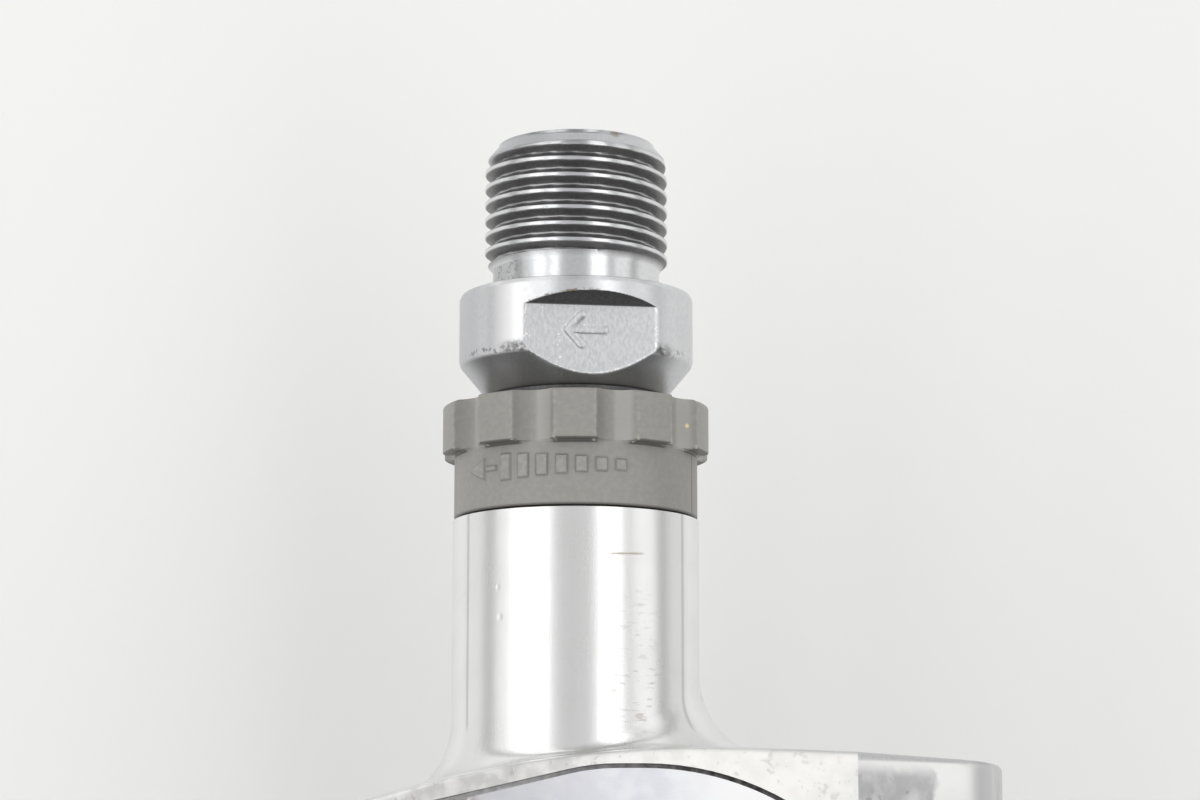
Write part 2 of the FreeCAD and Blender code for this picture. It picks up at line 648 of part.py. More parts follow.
def make_cover_screws():
    """Three countersunk screws with hexagon sockets."""
    screws = []
    for x, across in screw_places():
        mouth = FreeCAD.Vector(x, CENTRE_Y + across, BED_HEIGHT)
        socket = hexagon_prism(SCREW_SOCKET_ACROSS, SCREW_SOCKET_DEPTH, mouth, FreeCAD.Vector(0, 0, -1))
        screws.append(countersunk_rod(x, across, 0).cut(socket))
    return Part.makeCompound(screws)


def round_for(before, corner, after, length):
    """Radius of the arc that rounds a corner and takes the given length of the sides beside it."""
    arriving = math.atan2(corner[1] - before[1], corner[0] - before[0])
    leaving = math.atan2(after[1] - corner[1], after[0] - corner[0])
    return length / abs(math.tan((leaving - arriving) / 2))


def platform_outline():
    """Half of the platform's outline seen from above. Waist and shoulder share the side between them."""
    rear = (REAR_REACH, REAR_HALF_WIDTH)
    waist = (WAIST_X, WAIST_HALF_WIDTH)
    shoulder = (SHOULDER_X, SHOULDER_HALF_WIDTH)
    nose = (-NOSE_REACH, NOSE_HALF_WIDTH)
    shoulder_length = SHOULDER_ROUND_SHARE * (math.dist(waist, shoulder) - WAIST_ROUND_LENGTH)
    return [
        (*rear, 0),
        (*waist, round_for(rear, waist, shoulder, WAIST_ROUND_LENGTH)),
        (*shoulder, round_for(waist, shoulder, nose, shoulder_length)),
        (*nose, NOSE_ROUND),
    ]


def platform_profile():
    """The platform seen from the side: the lugs' bend and rounded end, the foot, and the nose hook."""
    slot_end = -NOSE_REACH + NOSE_WALL
    past_nose = -NOSE_REACH - NOSE_WALL
    foot_past_nose = FOOT_HEIGHT + (RAIL_FOOT_X - past_nose) * RAIL_SLOPE
    top_past_nose = LIP_TOP - (NOSE_CREST_X - past_nose) * NOSE_SLOPE
    return [
        (LUG_BEND_X, BED_HEIGHT, 0),
        (REAR_REACH, LUG_TOP_HEIGHT, LUG_TOP_ROUND),
        (REAR_REACH, LUG_TOP_HEIGHT - LUG_END_HEIGHT, LUG_FOOT_ROUND),
        (LUG_FOOT_X, FOOT_HEIGHT, 0),
        (RAIL_FOOT_X, FOOT_HEIGHT, 0),
        (past_nose, foot_past_nose, 0),
        (past_nose, top_past_nose, 0),
        (NOSE_CREST_X, LIP_TOP, NOSE_TOP_ROUND),
        (slot_end + LIP_REACH, LIP_TOP, LIP_ROUND),
        (slot_end + LIP_REACH, LIP_UNDERSIDE, LIP_ROUND),
        (slot_end, LIP_UNDERSIDE, NOSE_SLOT_ROUND),
        (slot_end, BED_HEIGHT, NOSE_SLOT_ROUND),
    ]


def cover_recess():
    """The recess for the cover plate and its screw holes."""
    floor = BED_HEIGHT - COVER_THICKNESS
    recess = plan_solid(mirrored(cover_outline(COVER_GAP)), floor, LIP_UNDERSIDE)
    return [recess] + [countersunk_rod(x, across, SEAT_CLEARANCE) for x, across in screw_places()]


def axle_bores():
    """The bores for the lock bolt, the axle tube and the nut, from the mouth of the barrel inwards."""
    return [
        rod_on_axle(BARREL_START, LOCK_SHANK_END, LOCK_SHANK_RADIUS),
        rod_on_axle(BARREL_START, BALL_BEARING_END, TUBE_RADIUS),
        rod_on_axle(BARREL_START, NUT_SPACE_END, NUT_SPACE_RADIUS),
    ]


def binding_space():
    """The slot between the lugs, the springs' round pocket, the ledge for their legs, and the pin holes."""
    floor = -ALL_HEIGHT / 2
    return [
        block(SLOT_FRONT_X, LEVER_REAR_X, SLOT_HALF_WIDTH, floor, LIP_UNDERSIDE),
        cross_rod(SLOT_HALF_WIDTH, SPRING_POCKET_RADIUS),
        block(LEG_LEDGE_X, PIVOT_X, SLOT_HALF_WIDTH, floor, LEG_LEDGE_HEIGHT),
        cross_rod(WAIST_HALF_WIDTH, PIN_RADIUS + SEAT_CLEARANCE),
    ]


def nose_window():
    """The opening through the nose."""
    front = -NOSE_REACH + NOSE_WALL + WINDOW_FRONT_GAP
    outline = [
        (WINDOW_REAR_X, WINDOW_REAR_HALF_WIDTH, WINDOW_ROUND),
        (front, WINDOW_FRONT_HALF_WIDTH, WINDOW_ROUND),
    ]
    return plan_solid(mirrored(outline), -ALL_HEIGHT / 2, ALL_HEIGHT / 2)


def quartered_rod(start, end, radius):
    """A rod on the axle in four quarters, so that its edges break at the top, the bottom and both sides."""
    rim = [(start, 0), (start, radius), (end, radius), (end, 0)]
    points = [FreeCAD.Vector(0, station(along), out) for along, out in rim]
    face = Part.Face(Part.makePolygon(points + points[:1]))
    quarter = face.revolve(FreeCAD.Vector(0, 0, 0), FreeCAD.Vector(0, 1, 0), 90)
    quarters = around_axle(quarter, 4)
    return quarters[0].fuse(quarters[1:])


def varied_fillet(shape, edges, radius_at):
    """Round edges with a radius that changes along them, given by a function of the point."""
    document = FreeCAD.newDocument()
    base = document.addObject("Part::Feature", "base")
    base.Shape = shape
    fillet = document.addObject("Part::Fillet", "fillet")
    fillet.Base = base
    rows = []
    for number in edges:
        edge = shape.Edges[number]
        ends = (edge.valueAt(edge.FirstParameter), edge.valueAt(edge.LastParameter))
        rows.append((number + 1, radius_at(ends[0]), radius_at(ends[1])))
    fillet.Edges = rows
    document.recompute()
    rounded = fillet.Shape.copy()
    FreeCAD.closeDocument(document.Name)
    return rounded


def barrel_fillet_at(point):
    """Radius between barrel and platform: full at the sides, small at the top where the bed is near."""
    share = math.asin(min(1, abs(point.z) / BARREL_RADIUS)) / (math.pi / 2)
    return BARREL_FILLET + (BARREL_TOP_FILLET - BARREL_FILLET) * share


def make_platform():
    """The platform with a filleted stub of the barrel, trimmed to its side outline, its edges softened."""
    tall = plan_solid(mirrored(platform_outline()), -ALL_HEIGHT / 2, ALL_HEIGHT / 2)
    blank = tall.fuse(quartered_rod(BARREL_START, PEDAL_CENTRE_STATION, BARREL_RADIUS))
    mouth = station(BARREL_START)
    junction = []
    for number, edge in enumerate(blank.Edges):
        box = edge.BoundBox
        on_rod = all(abs(math.hypot(v.X, v.Z) - BARREL_RADIUS) < SEAT_CLEARANCE for v in edge.Vertexes)
        if on_rod and box.YMax < mouth - BARREL_GAP and box.ZLength > SEAT_CLEARANCE:
            junction.append(number)
    blank = varied_fillet(blank, junction, barrel_fillet_at)
    platform = blank.common(side_solid(platform_profile(), PEDAL_CENTRE_STATION))
    outline = []
    for edge in platform.Edges:
        box = edge.BoundBox
        level_with_bed = abs(box.ZMax - BED_HEIGHT) < SEAT_CLEARANCE
        on_lug = box.XMin > LUG_BEND_X - SEAT_CLEARANCE
        on_bed = box.ZMin > BED_HEIGHT - SEAT_CLEARANCE
        if level_with_bed and box.XLength > SEAT_CLEARANCE and (on_bed or on_lug):
            outline.append(edge)
    return platform.makeFillet(EDGE_ROUND, outline)


def make_barrel():
    """The barrel, with a softened mouth and a rounded closed end."""
    barrel = rod_on_axle(BARREL_START, BARREL_END, BARREL_RADIUS)
    mouth = [e for e in barrel.Edges if e.BoundBox.YMin > station(BARREL_START) - BARREL_GAP]
    barrel = barrel.makeFillet(BARREL_EDGE, mouth)
    end = [e for e in barrel.Edges if e.BoundBox.YMax < station(BARREL_END) + BARREL_GAP]
    return barrel.makeFillet(BARREL_END_ROUND, end)


def make_pedal_body():
    """Forged body: barrel, platform with nose hook and window, cover recess, and lugs for the binding."""
    blank = make_platform().fuse(make_barrel())
    return blank.cut(cover_recess() + axle_bores() + binding_space() + [nose_window()])


def make_pivot_pin():
    """Pin that the binding turns on, held in both lugs."""
    return cross_rod(REAR_HALF_WIDTH, PIN_RADIUS)


def make_spring_sleeve():
    """Moulded sleeve on the pin, inside both springs."""
    bore = PIN_RADIUS + RUNNING_CLEARANCE
    half_length = POCKET_HALF_WIDTH - SLEEVE_END_GAP
    return cross_rod(half_length, bore + SPRING_SLEEVE_WALL).cut(cross_rod(half_length, bore))


def make_binding():
    """Binding lever: cheeks on the pin, a rear wall for the tension screw, and the claw over the cleat."""
    foot = PIVOT_HEIGHT - LEVER_EYE_RADIUS
    stop_x = SLOT_FRONT_X + LEVER_STOP_GAP
    profile = [
        (CLAW_FACE_X - CLAW_REACH, LIP_UNDERSIDE, LIP_ROUND),
        (CLAW_FACE_X - CLAW_REACH, LIP_TOP, LIP_ROUND),
        (LEVER_REAR_X - CLAW_REACH, LIP_TOP, CLAW_ROUND),
        (LEVER_REAR_X, LEVER_POCKET_TOP, CLAW_ROUND),
        (LEVER_REAR_X, foot, LEVER_ROUND),
        (PIVOT_X - LEVER_EYE_RADIUS, foot, LEVER_EYE_RADIUS),
        (PIVOT_X - LEVER_EYE_RADIUS, PIVOT_HEIGHT + LEVER_EYE_RADIUS / 2, 0),
        (stop_x, PIVOT_HEIGHT + LEVER_EYE_RADIUS, 0),
        (stop_x, LEVER_STOP_HEIGHT, LEVER_ROUND / 2),
        (CLAW_FACE_X, BED_HEIGHT - LEVER_ROUND, LEVER_ROUND / 2),
        (CLAW_FACE_X, LIP_UNDERSIDE, LIP_ROUND / 2),
    ]
    lever = side_solid(profile, LEVER_HALF_WIDTH)
    outline = [
        (LEVER_REAR_X, LEVER_HALF_WIDTH, CLAW_ROUND),
        (LEG_LEDGE_X, LEVER_HALF_WIDTH, 0),
    ]
    lever = lever.common(plan_solid(mirrored(outline), -ALL_HEIGHT / 2, ALL_HEIGHT / 2))
    head_seat = LEVER_REAR_X - TENSION_HEAD_THICKNESS
    height = TENSION_SCREW_HEIGHT
    spaces = [
        block(LEG_LEDGE_X, POCKET_REAR_X, POCKET_HALF_WIDTH, foot, LEVER_POCKET_TOP),
        cross_rod(LEVER_HALF_WIDTH, PIN_RADIUS + RUNNING_CLEARANCE),
        rod_along_x(POCKET_REAR_X, LEVER_REAR_X, TENSION_SCREW_RADIUS + SCREW_HOLE_CLEARANCE, height),
        rod_along_x(head_seat, LEVER_REAR_X, TENSION_HEAD_RADIUS + SCREW_HOLE_CLEARANCE, height),
    ]
    return lever.cut(spaces)


def make_spring(side):
    """Torsion spring on one side: its inner leg bears on the body's ledge, its outer leg on the plate."""
    steps = [2 * math.pi * i / SPRING_WIRE_SIDE_COUNT for i in range(SPRING_WIRE_SIDE_COUNT + 1)]
    section = Part.makePolygon(
        [
            FreeCAD.Vector(
                SPRING_COIL_RADIUS + SPRING_WIRE_RADIUS * math.cos(a), 0, SPRING_WIRE_RADIUS * math.sin(a)
            )
            for a in steps
        ]
    )
    path = Part.makeHelix(SPRING_PITCH, SPRING_PITCH * SPRING_TURNS, SPRING_COIL_RADIUS)
    coil = Part.Wire(path).makePipeShell([section], True, True)
    ends = [face for face in coil.Faces if len(face.Edges) == SPRING_WIRE_SIDE_COUNT]
    ends.sort(key=lambda face: face.CenterOfMass.z)
    lower_leg = ends[0].extrude(ends[0].normalAt(0, 0) * SPRING_LOWER_LEG)
    upper_leg = ends[-1].extrude(ends[-1].normalAt(0, 0) * SPRING_UPPER_LEG)
    spring = coil.fuse([lower_leg, upper_leg])
    spring.rotate(FreeCAD.Vector(0, 0, 0), FreeCAD.Vector(0, 0, 1), -90)
    spring.rotate(FreeCAD.Vector(0, 0, 0), FreeCAD.Vector(1, 0, 0), 90)
    spring.translate(FreeCAD.Vector(PIVOT_X, CENTRE_Y - SPRING_START, PIVOT_HEIGHT))
    if side > 0:
        spring = spring.mirror(FreeCAD.Vector(0, CENTRE_Y, 0), FreeCAD.Vector(0, 1, 0))
    return spring


def make_tension_plate():
    """Threaded plate that the springs' outer legs push, drawn back by the tension screw."""
    half_height = PLATE_HEIGHT / 2
    front = PLATE_REAR_X - PLATE_THICKNESS
    plate = block(
        front,
        PLATE_REAR_X,
        POCKET_HALF_WIDTH - PLATE_END_GAP,
        TENSION_SCREW_HEIGHT - half_height,
        TENSION_SCREW_HEIGHT + half_height,
    )
    hole = rod_along_x(front, PLATE_REAR_X, TENSION_SCREW_RADIUS + RUNNING_CLEARANCE, TENSION_SCREW_HEIGHT)
    return plate.cut(hole)


def make_tension_screw():
    """Socket screw through the binding's rear wall into the plate."""
    tip = PLATE_REAR_X - PLATE_THICKNESS - TENSION_TIP
    head_seat = LEVER_REAR_X - TENSION_HEAD_THICKNESS
    shank = rod_along_x(tip, LEVER_REAR_X, TENSION_SCREW_RADIUS, TENSION_SCREW_HEIGHT)
    head = rod_along_x(head_seat, LEVER_REAR_X, TENSION_HEAD_RADIUS, TENSION_SCREW_HEIGHT)
    mouth = FreeCAD.Vector(LEVER_REAR_X, CENTRE_Y, TENSION_SCREW_HEIGHT)
    socket = hexagon_prism(TENSION_SOCKET_ACROSS, TENSION_SOCKET_DEPTH, mouth, FreeCAD.Vector(-1, 0, 0))
    return shank.fuse(head).removeSplitter().cut(socket)


NODES = {
    "axle": make_axle(),
    "bearing_inner_ring": make_bearing_inner_ring(),
    "lock_washer": make_lock_washer(),
    "lock_nut": make_lock_nut(),
    "needle_rollers": make_needle_rollers(),
    "needle_cage": make_needle_cage(),
    "bearing_balls": make_bearing_balls(),
    "bearing_cage": make_bearing_cage(),
    "pedal_body": make_pedal_body(),
    "lock_bolt": make_lock_bolt(),
    "dust_seal": make_dust_seal(),
    "axle_tube": make_axle_tube(),
    "needle_cup": make_needle_cup(),
    "bearing_outer_ring": make_bearing_outer_ring(),
    "cover_plate": make_cover_plate(),
    "cover_screws": make_cover_screws(),
    "pivot_pin": make_pivot_pin(),
    "spring_sleeve": make_spring_sleeve(),
    "binding": make_binding(),
    "inner_spring": make_spring(1),
    "outer_spring": make_spring(-1),
    "tension_plate": make_tension_plate(),
    "tension_screw": make_tension_screw(),
}

os.makedirs("parts", exist_ok=True)
for node, shape in NODES.items():
    shape.exportStep(f"parts/{node}.step")
    print(f"{node}: {len(shape.Solids)} solid, valid {shape.isValid()}, {shape.Volume:.0f} mm3")
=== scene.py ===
# %% [markdown]
# # A clipless road pedal, dressed for the camera
#
# The solids of the pedal come from CAD and stay as they are. This lesson gives every solid a finish,
# and remakes the few pieces whose fine shape matters in a close view: the threaded axle, the moulded
# lock bolt and the springs. Lengths are written in millimetres and turned into metres where they meet
# Blender.

# %% Load the solids
import json
import math

import bmesh
import bpy
import numpy as np
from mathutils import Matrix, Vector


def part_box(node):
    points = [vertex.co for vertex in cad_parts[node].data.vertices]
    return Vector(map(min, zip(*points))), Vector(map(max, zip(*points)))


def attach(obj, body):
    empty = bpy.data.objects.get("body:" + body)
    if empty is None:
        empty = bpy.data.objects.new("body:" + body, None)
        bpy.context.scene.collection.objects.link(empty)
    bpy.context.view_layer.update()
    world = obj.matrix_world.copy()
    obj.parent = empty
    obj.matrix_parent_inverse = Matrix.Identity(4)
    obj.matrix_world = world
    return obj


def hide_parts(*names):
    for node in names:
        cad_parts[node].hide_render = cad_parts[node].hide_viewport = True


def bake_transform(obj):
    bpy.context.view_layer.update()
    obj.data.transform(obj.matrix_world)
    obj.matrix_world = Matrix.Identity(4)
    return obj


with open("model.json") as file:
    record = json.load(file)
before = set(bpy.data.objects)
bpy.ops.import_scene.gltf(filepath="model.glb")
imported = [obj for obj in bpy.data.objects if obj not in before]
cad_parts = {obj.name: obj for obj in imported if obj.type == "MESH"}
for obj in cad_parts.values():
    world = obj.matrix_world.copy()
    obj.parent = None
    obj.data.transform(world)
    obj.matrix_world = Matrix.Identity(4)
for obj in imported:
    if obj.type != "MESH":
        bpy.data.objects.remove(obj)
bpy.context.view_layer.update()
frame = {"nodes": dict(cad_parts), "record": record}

MM = 0.001
scene = bpy.context.scene
nodes = frame["nodes"]
print("solids:", len(nodes))

# %% [markdown]
# ## Where things are along the axle
#
# On the real pedal everything is measured from the flat ring that seats on the crank. Distances
# outboard of that face are called stations here. The frame's origin is in the middle of the crank
# thread, so one number turns a station into the frame's Y.

# %% Stations and shared sizes
CRANK_FACE_Y = -6.5
CENTRE_STATION = 54.0
CENTRE_Y = CRANK_FACE_Y - CENTRE_STATION
BED_HEIGHT = 11.0
THREAD_RADIUS = frame["record"]["mounts"][0]["dims"]["r_mm"]
axle_low, axle_high = (np.array(corner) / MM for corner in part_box("axle"))
TIP_STATION = CRANK_FACE_Y - axle_high[1]
AXLE_END_STATION = CRANK_FACE_Y - axle_low[1]
FLANGE_LENGTH = 5.4
print("axle runs from station", round(TIP_STATION, 2), "to", round(AXLE_END_STATION, 2))

# %% [markdown]
# ## The camera
#
# The photograph looks almost straight down on the pedal from about a quarter of a metre. The curves
# of the thread and of the sleeve were used to work out how far the camera leans and how long its lens
# is. The lens is stated in pixels of the picture, which is 1200 wide, and turned into millimetres for
# Blender's 36 mm sensor.

# %% Camera
PICTURE_WIDTH_PIXELS = 1200
FOCAL_LENGTH_PIXELS = 3270
SENSOR_WIDTH = 36.0
CAMERA_LEAN = math.radians(9.8)
CAMERA_HEIGHT = 250.6
CAMERA_STATION = 51.4
CAMERA_SIDE = 1.87
NEAREST_SEEN = 10.0

camera_data = bpy.data.cameras.new("camera")
camera_data.sensor_width = SENSOR_WIDTH
camera_data.lens = SENSOR_WIDTH * FOCAL_LENGTH_PIXELS / PICTURE_WIDTH_PIXELS
camera_data.clip_start = NEAREST_SEEN * MM
camera = bpy.data.objects.new("camera", camera_data)
camera.location = (CAMERA_SIDE * MM, (CRANK_FACE_Y - CAMERA_STATION) * MM, CAMERA_HEIGHT * MM)
camera.rotation_euler = (CAMERA_LEAN, 0, 0)
scene.collection.objects.link(camera)
scene.camera = camera
print("lens", round(camera_data.lens, 1), "mm")

# %% [markdown]
# ## Writing shader maths as sums
#
# A material is a graph of small nodes. Linking them by hand hides the formula, so a small class wraps
# one output and turns ordinary arithmetic into Math nodes. Every other node comes from the one method
# called node.


# %% Shader helper
class Wire:
    """One output of a node. Arithmetic with numbers or other wires adds Math nodes to the same tree."""

    def __init__(self, tree, socket):
        self.tree = tree
        self.socket = socket

    def node(self, kind, settings=(), inputs=(), output=0):
        """Add any node: its settings first, then values or wires for its inputs, named or numbered."""
        made = self.tree.nodes.new(kind)
        for name, value in dict(settings).items():
            setattr(made, name, value)
        for name, value in dict(inputs).items():
            if isinstance(value, Wire):
                self.tree.links.new(value.socket, made.inputs[name])
            else:
                made.inputs[name].default_value = value
        return Wire(self.tree, made.outputs[output])

    def math(self, operation, other=0.0):
        """One Math node, of this wire and a number or another wire."""
        return self.node("ShaderNodeMath", {"operation": operation}, {0: self, 1: other})

    def __add__(self, other):
        return self.math("ADD", other)

    def __sub__(self, other):
        return self.math("SUBTRACT", other)

    def __mul__(self, other):
        return self.math("MULTIPLY", other)

    def __rsub__(self, other):
        return self * -1.0 + other

    __radd__ = __add__
    __rmul__ = __mul__

    def step(self, low, high):
        """0 below low, 1 above high, and a smooth S between. With low above high it falls instead."""
        settings = {"interpolation_type": "SMOOTHSTEP"}
        return self.node("ShaderNodeMapRange", settings, {0: self, 1: low, 2: high, 3: 0.0, 4: 1.0})

    def past(self, edge, soft):
        """0 before the edge and 1 past it, eased by the softness to both sides. Below zero it falls."""
        return self.step(edge - soft, edge + soft)

    def band(self, low, high, soft):
        """1 between low and high, fading to 0 over the softness at both ends."""
        return self.step(low - soft, low) * self.step(high + soft, high)

    def either(self, other):
        """The larger of two masks."""
        return self.math("MAXIMUM", other)

    def blend(self, first, second):
        """The first colour where this wire is 0, the second where it is 1."""
        return self.node("ShaderNodeMix", {"data_type": "RGBA"}, {0: self, 6: first, 7: second}, output=2)

    def bump(self, strength, distance):
        """A Normal that follows this wire as a height. Distance is in millimetres."""
        inputs = {"Strength": strength, "Distance": distance * MM, "Height": self}
        return self.node("ShaderNodeBump", (), inputs)


def new_material(name, constants):
    """A material, the wrapper for its object coordinates in millimetres, and its Principled shader."""
    material = bpy.data.materials.new(name)
    material.use_nodes = True
    tree = material.node_tree
    shader = tree.nodes["Principled BSDF"]
    for socket, value in constants.items():
        shader.inputs[socket].default_value = value
    coordinates = Wire(tree, tree.nodes.new("ShaderNodeTexCoord").outputs["Object"])
    inputs = {0: coordinates, "Scale": 1 / MM}
    place = coordinates.node("ShaderNodeVectorMath", {"operation": "SCALE"}, inputs)
    return material, place, shader


def feed(shader, **wires):
    """Link wires to the shader's sockets, with underscores for the spaces in their names."""
    for name, wire in wires.items():
        wire.tree.links.new(wire.socket, shader.inputs[name.replace("_", " ")])


def axes_of(place):
    """The X, Y and Z of a place, each as a wire."""
    split = place.node("ShaderNodeSeparateXYZ", (), {0: place})
    outputs = split.socket.node.outputs
    return [Wire(place.tree, outputs[i]) for i in range(3)]


def noise(place, scale, detail, stretch=(1, 1, 1)):
    """Smooth random values from 0 to 1. Scale is in cells per millimetre, after the place is stretched."""
    stretched = place.node("ShaderNodeVectorMath", {"operation": "MULTIPLY"}, {0: place, 1: stretch})
    return place.node("ShaderNodeTexNoise", (), {"Vector": stretched, "Scale": scale, "Detail": detail})


SPOT_CORE = 0.3


def spot(place, centre, radius):
    """1 in the core of a ball, falling to 0 at its radius."""
    settings = {"operation": "DISTANCE"}
    distance = place.node("ShaderNodeVectorMath", settings, {0: place, 1: centre}, output="Value")
    return distance.step(radius, radius * SPOT_CORE)


def painted(place, name):
    """One of the mesh's own attributes."""
    return place.node("ShaderNodeAttribute", {"attribute_name": name}, (), output="Fac")


def colour(red, green, blue):
    """A colour as the sockets take it, with nothing see-through."""
    return (red, green, blue, 1.0)


print("shader helper ready")

# %% [markdown]
# ## Light, floor and background
#
# The pedal was photographed in a bright, soft room. A polished barrel is a mirror that shows that
# room as bands: a white window on the left with a bar across it, a greyer stretch overhead, and
# another window on the right. Long area lamps in front of a pale room give the same bands, and the
# floor is a plain pale sheet. A barrel doubles angles, so a band seen 10 degrees round from its top
# comes from a lamp 20 degrees from overhead. A lamp adds its light to the room behind it. The room is
# darker near the horizon, and darkest towards the crank.

# %% Lamps
PANEL_DISTANCE = 700.0
PANEL_LENGTH = 3600.0
PANEL_STATION = 20.0
PANELS = [
    ("left_wing", -78, -60, 0.42),
    ("left_window", -60, -41, 1.05),
    ("left_inner_window", -36, -23, 1.05),
    ("right_window", 20, 43, 1.05),
    ("right_wing", 54, 80, 0.50),
]


def panel(name, start_degrees, end_degrees, radiance):
    """A lamp facing the axle, between angles from overhead. Its power is radiance times pi times area."""
    turn = math.radians((start_degrees + end_degrees) / 2)
    half_angle = math.radians(end_degrees - start_degrees) / 2
    distance = PANEL_DISTANCE * MM
    width = 2 * distance * math.tan(half_angle)
    length = PANEL_LENGTH * MM
    lamp = bpy.data.lights.new(name, "AREA")
    lamp.shape = "RECTANGLE"
    lamp.size = width
    lamp.size_y = length
    lamp.energy = radiance * math.pi * width * length
    holder = bpy.data.objects.new(name, lamp)
    along = (CRANK_FACE_Y - PANEL_STATION) * MM
    holder.location = (distance * math.sin(turn), along, distance * math.cos(turn))
    holder.rotation_euler = (0, turn, 0)
    scene.collection.objects.link(holder)


for settings in PANELS:
    panel(*settings)
print("lamps:", len(PANELS))

# %% Room
world = bpy.data.worlds.new("room")
world.use_nodes = True
scene.world = world
background = world.node_tree.nodes["Background"]
direction = Wire(world.node_tree, world.node_tree.nodes.new("ShaderNodeTexCoord").outputs["Generated"])
_, crankward, upward = axes_of(direction)
open_sky = upward.step(0.35, 0.95).blend(colour(0.52, 0.52, 0.515), colour(0.60, 0.60, 0.605))
sky = (crankward.step(0.30, 0.80) * 0.45).blend(open_sky, colour(0.25, 0.25, 0.25))
world.node_tree.links.new(sky.socket, background.inputs["Color"])
scene.view_settings.view_transform = "Standard"
print("room made")

# %% Floor
FLOOR_DROP = 30.0
FLOOR_SIZE = 6000.0

half = FLOOR_SIZE * MM / 2
floor_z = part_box("pedal_body")[0][2] - FLOOR_DROP * MM
floor_corners = [(half * a, half * b, floor_z) for a, b in ((-1, -1), (1, -1), (1, 1), (-1, 1))]
floor_mesh = bpy.data.meshes.new("floor")
floor_mesh.from_pydata(floor_corners, [], [(0, 1, 2, 3)])
floor = bpy.data.objects.new("floor", floor_mesh)
scene.collection.objects.link(floor)
floor_paint = {"Roughness": 0.9, "Base Color": colour(0.93, 0.93, 0.92)}
floor_mesh.materials.append(new_material("pale_floor", floor_paint)[0])
print("floor at", round(floor_z / MM, 1), "mm")

# %% [markdown]
# ## Finishes for the small parts
#
# Most small parts are bare metal. What changes from one to the next is how bright the metal is, how
# sharply it reflects and which way its grain runs, so one function makes them all. A turned part has
# grain round its axis, which is noise pulled out across that axis.

# %% Small metals and mouldings
CLOUD_SHADE = 0.88
GRAIN_GLOSS = 0.16
CLOUD_GLOSS = 0.06


def plain(name, base, roughness, metallic=1.0, grain=(1, 1, 1)):
    """A base colour with slow clouds, and a grain in gloss and height that is stretched as asked."""
    material, place, shader = new_material(name, {"Metallic": metallic})
    clouds = noise(place, 0.5, 3.0)
    lines = noise(place, 3.0, 4.0, grain)
    shade = colour(*(CLOUD_SHADE * part for part in base))
    feed(
        shader,
        Base_Color=clouds.step(0.35, 0.7).blend(colour(*base), shade),
        Roughness=(lines - 0.5) * GRAIN_GLOSS + (clouds - 0.5) * CLOUD_GLOSS + roughness,
        Normal=lines.bump(0.12, 0.01),
    )
    return material


ROUND_Y = (0.4, 5.0, 0.4)
ROUND_X = (5.0, 0.4, 0.4)
ground_steel = plain("ground_steel", (0.62, 0.62, 0.63), 0.25, grain=ROUND_Y)
zinc_plate = plain("zinc_plate", (0.60, 0.60, 0.57), 0.35, grain=ROUND_Y)
spring_steel = plain("spring_steel", (0.30, 0.30, 0.31), 0.36)
black_oxide = plain("black_oxide", (0.10, 0.10, 0.105), 0.42, grain=ROUND_X)
cage_brass = plain("cage_brass", (0.70, 0.52, 0.26), 0.32, grain=ROUND_Y)
black_moulding = plain("black_moulding", (0.03, 0.03, 0.03), 0.5, 0.0)
seal_rubber = plain("seal_rubber", (0.025, 0.025, 0.025), 0.65, 0.0)
satin_casting = plain("satin_casting", (0.66, 0.66, 0.65), 0.40, grain=(2, 2, 2))

FINISHES = {
    ground_steel: [
        "bearing_inner_ring",
        "bearing_outer_ring",
        "bearing_balls",
        "needle_rollers",
        "needle_cage",
        "needle_cup",
        "axle_tube",
        "pivot_pin",
    ],
    zinc_plate: ["lock_washer", "lock_nut", "tension_plate"],
    cage_brass: ["bearing_cage"],
    spring_steel: ["inner_spring", "outer_spring"],
    black_oxide: ["tension_screw"],
    black_moulding: ["spring_sleeve"],
    seal_rubber: ["dust_seal"],
    satin_casting: ["binding"],
}


def dress(node, material):
    """Give a solid one material all over."""
    nodes[node].data.materials.clear()
    nodes[node].data.materials.append(material)


for material, names in FINISHES.items():
    for name in names:
        dress(name, material)
print("small finishes:", len(FINISHES))

# %% [markdown]
# ## Polished aluminium
#
# The body is a polished forging that has been used. Every part of it is told apart by where it is:
# the barrel by its place along the axle, the bed by its height, the lugs by lying behind the bend,
# the recess by the gap round the plate. Each gets its own gloss. The barrel is a soft mirror, the rim
# of the bed is worn to a cream satin, the lugs are scuffed grey, and the gap is painted dark, darkest
# towards the rear. The sides and the underside kept their brushed satin finish, and the bed is
# duller where shoes tread.

# %% Where each part of the body is
LUG_BEND_X = 20.7
LUG_FOOT_HEIGHT = 4.5
LUG_TOP_HALF_WIDTHS = (17.45, 17.2)
LUG_PATCH_X = (20.9, 26.4)
LUG_PATCH_HALF_WIDTH = 16.7
LUG_END_X = 29.8
RECESS_FRONT_X = -14.65
RECESS_FLARE_X = -14.0
RECESS_FLARE = 0.234
RECESS_NARROW_HALF_WIDTH = 14.0
RECESS_WIDE_HALF_WIDTH = 17.3
RECESS_FLOOR = 9.5
BARREL_FOOT_Y = CENTRE_Y + 20.0
BARREL_REACH = (15.5, 21.0)
BARREL_UNDERSIDE = (0.5, -3.5)
TREAD_Y = (CENTRE_Y + 13.5, CENTRE_Y + 9.0)

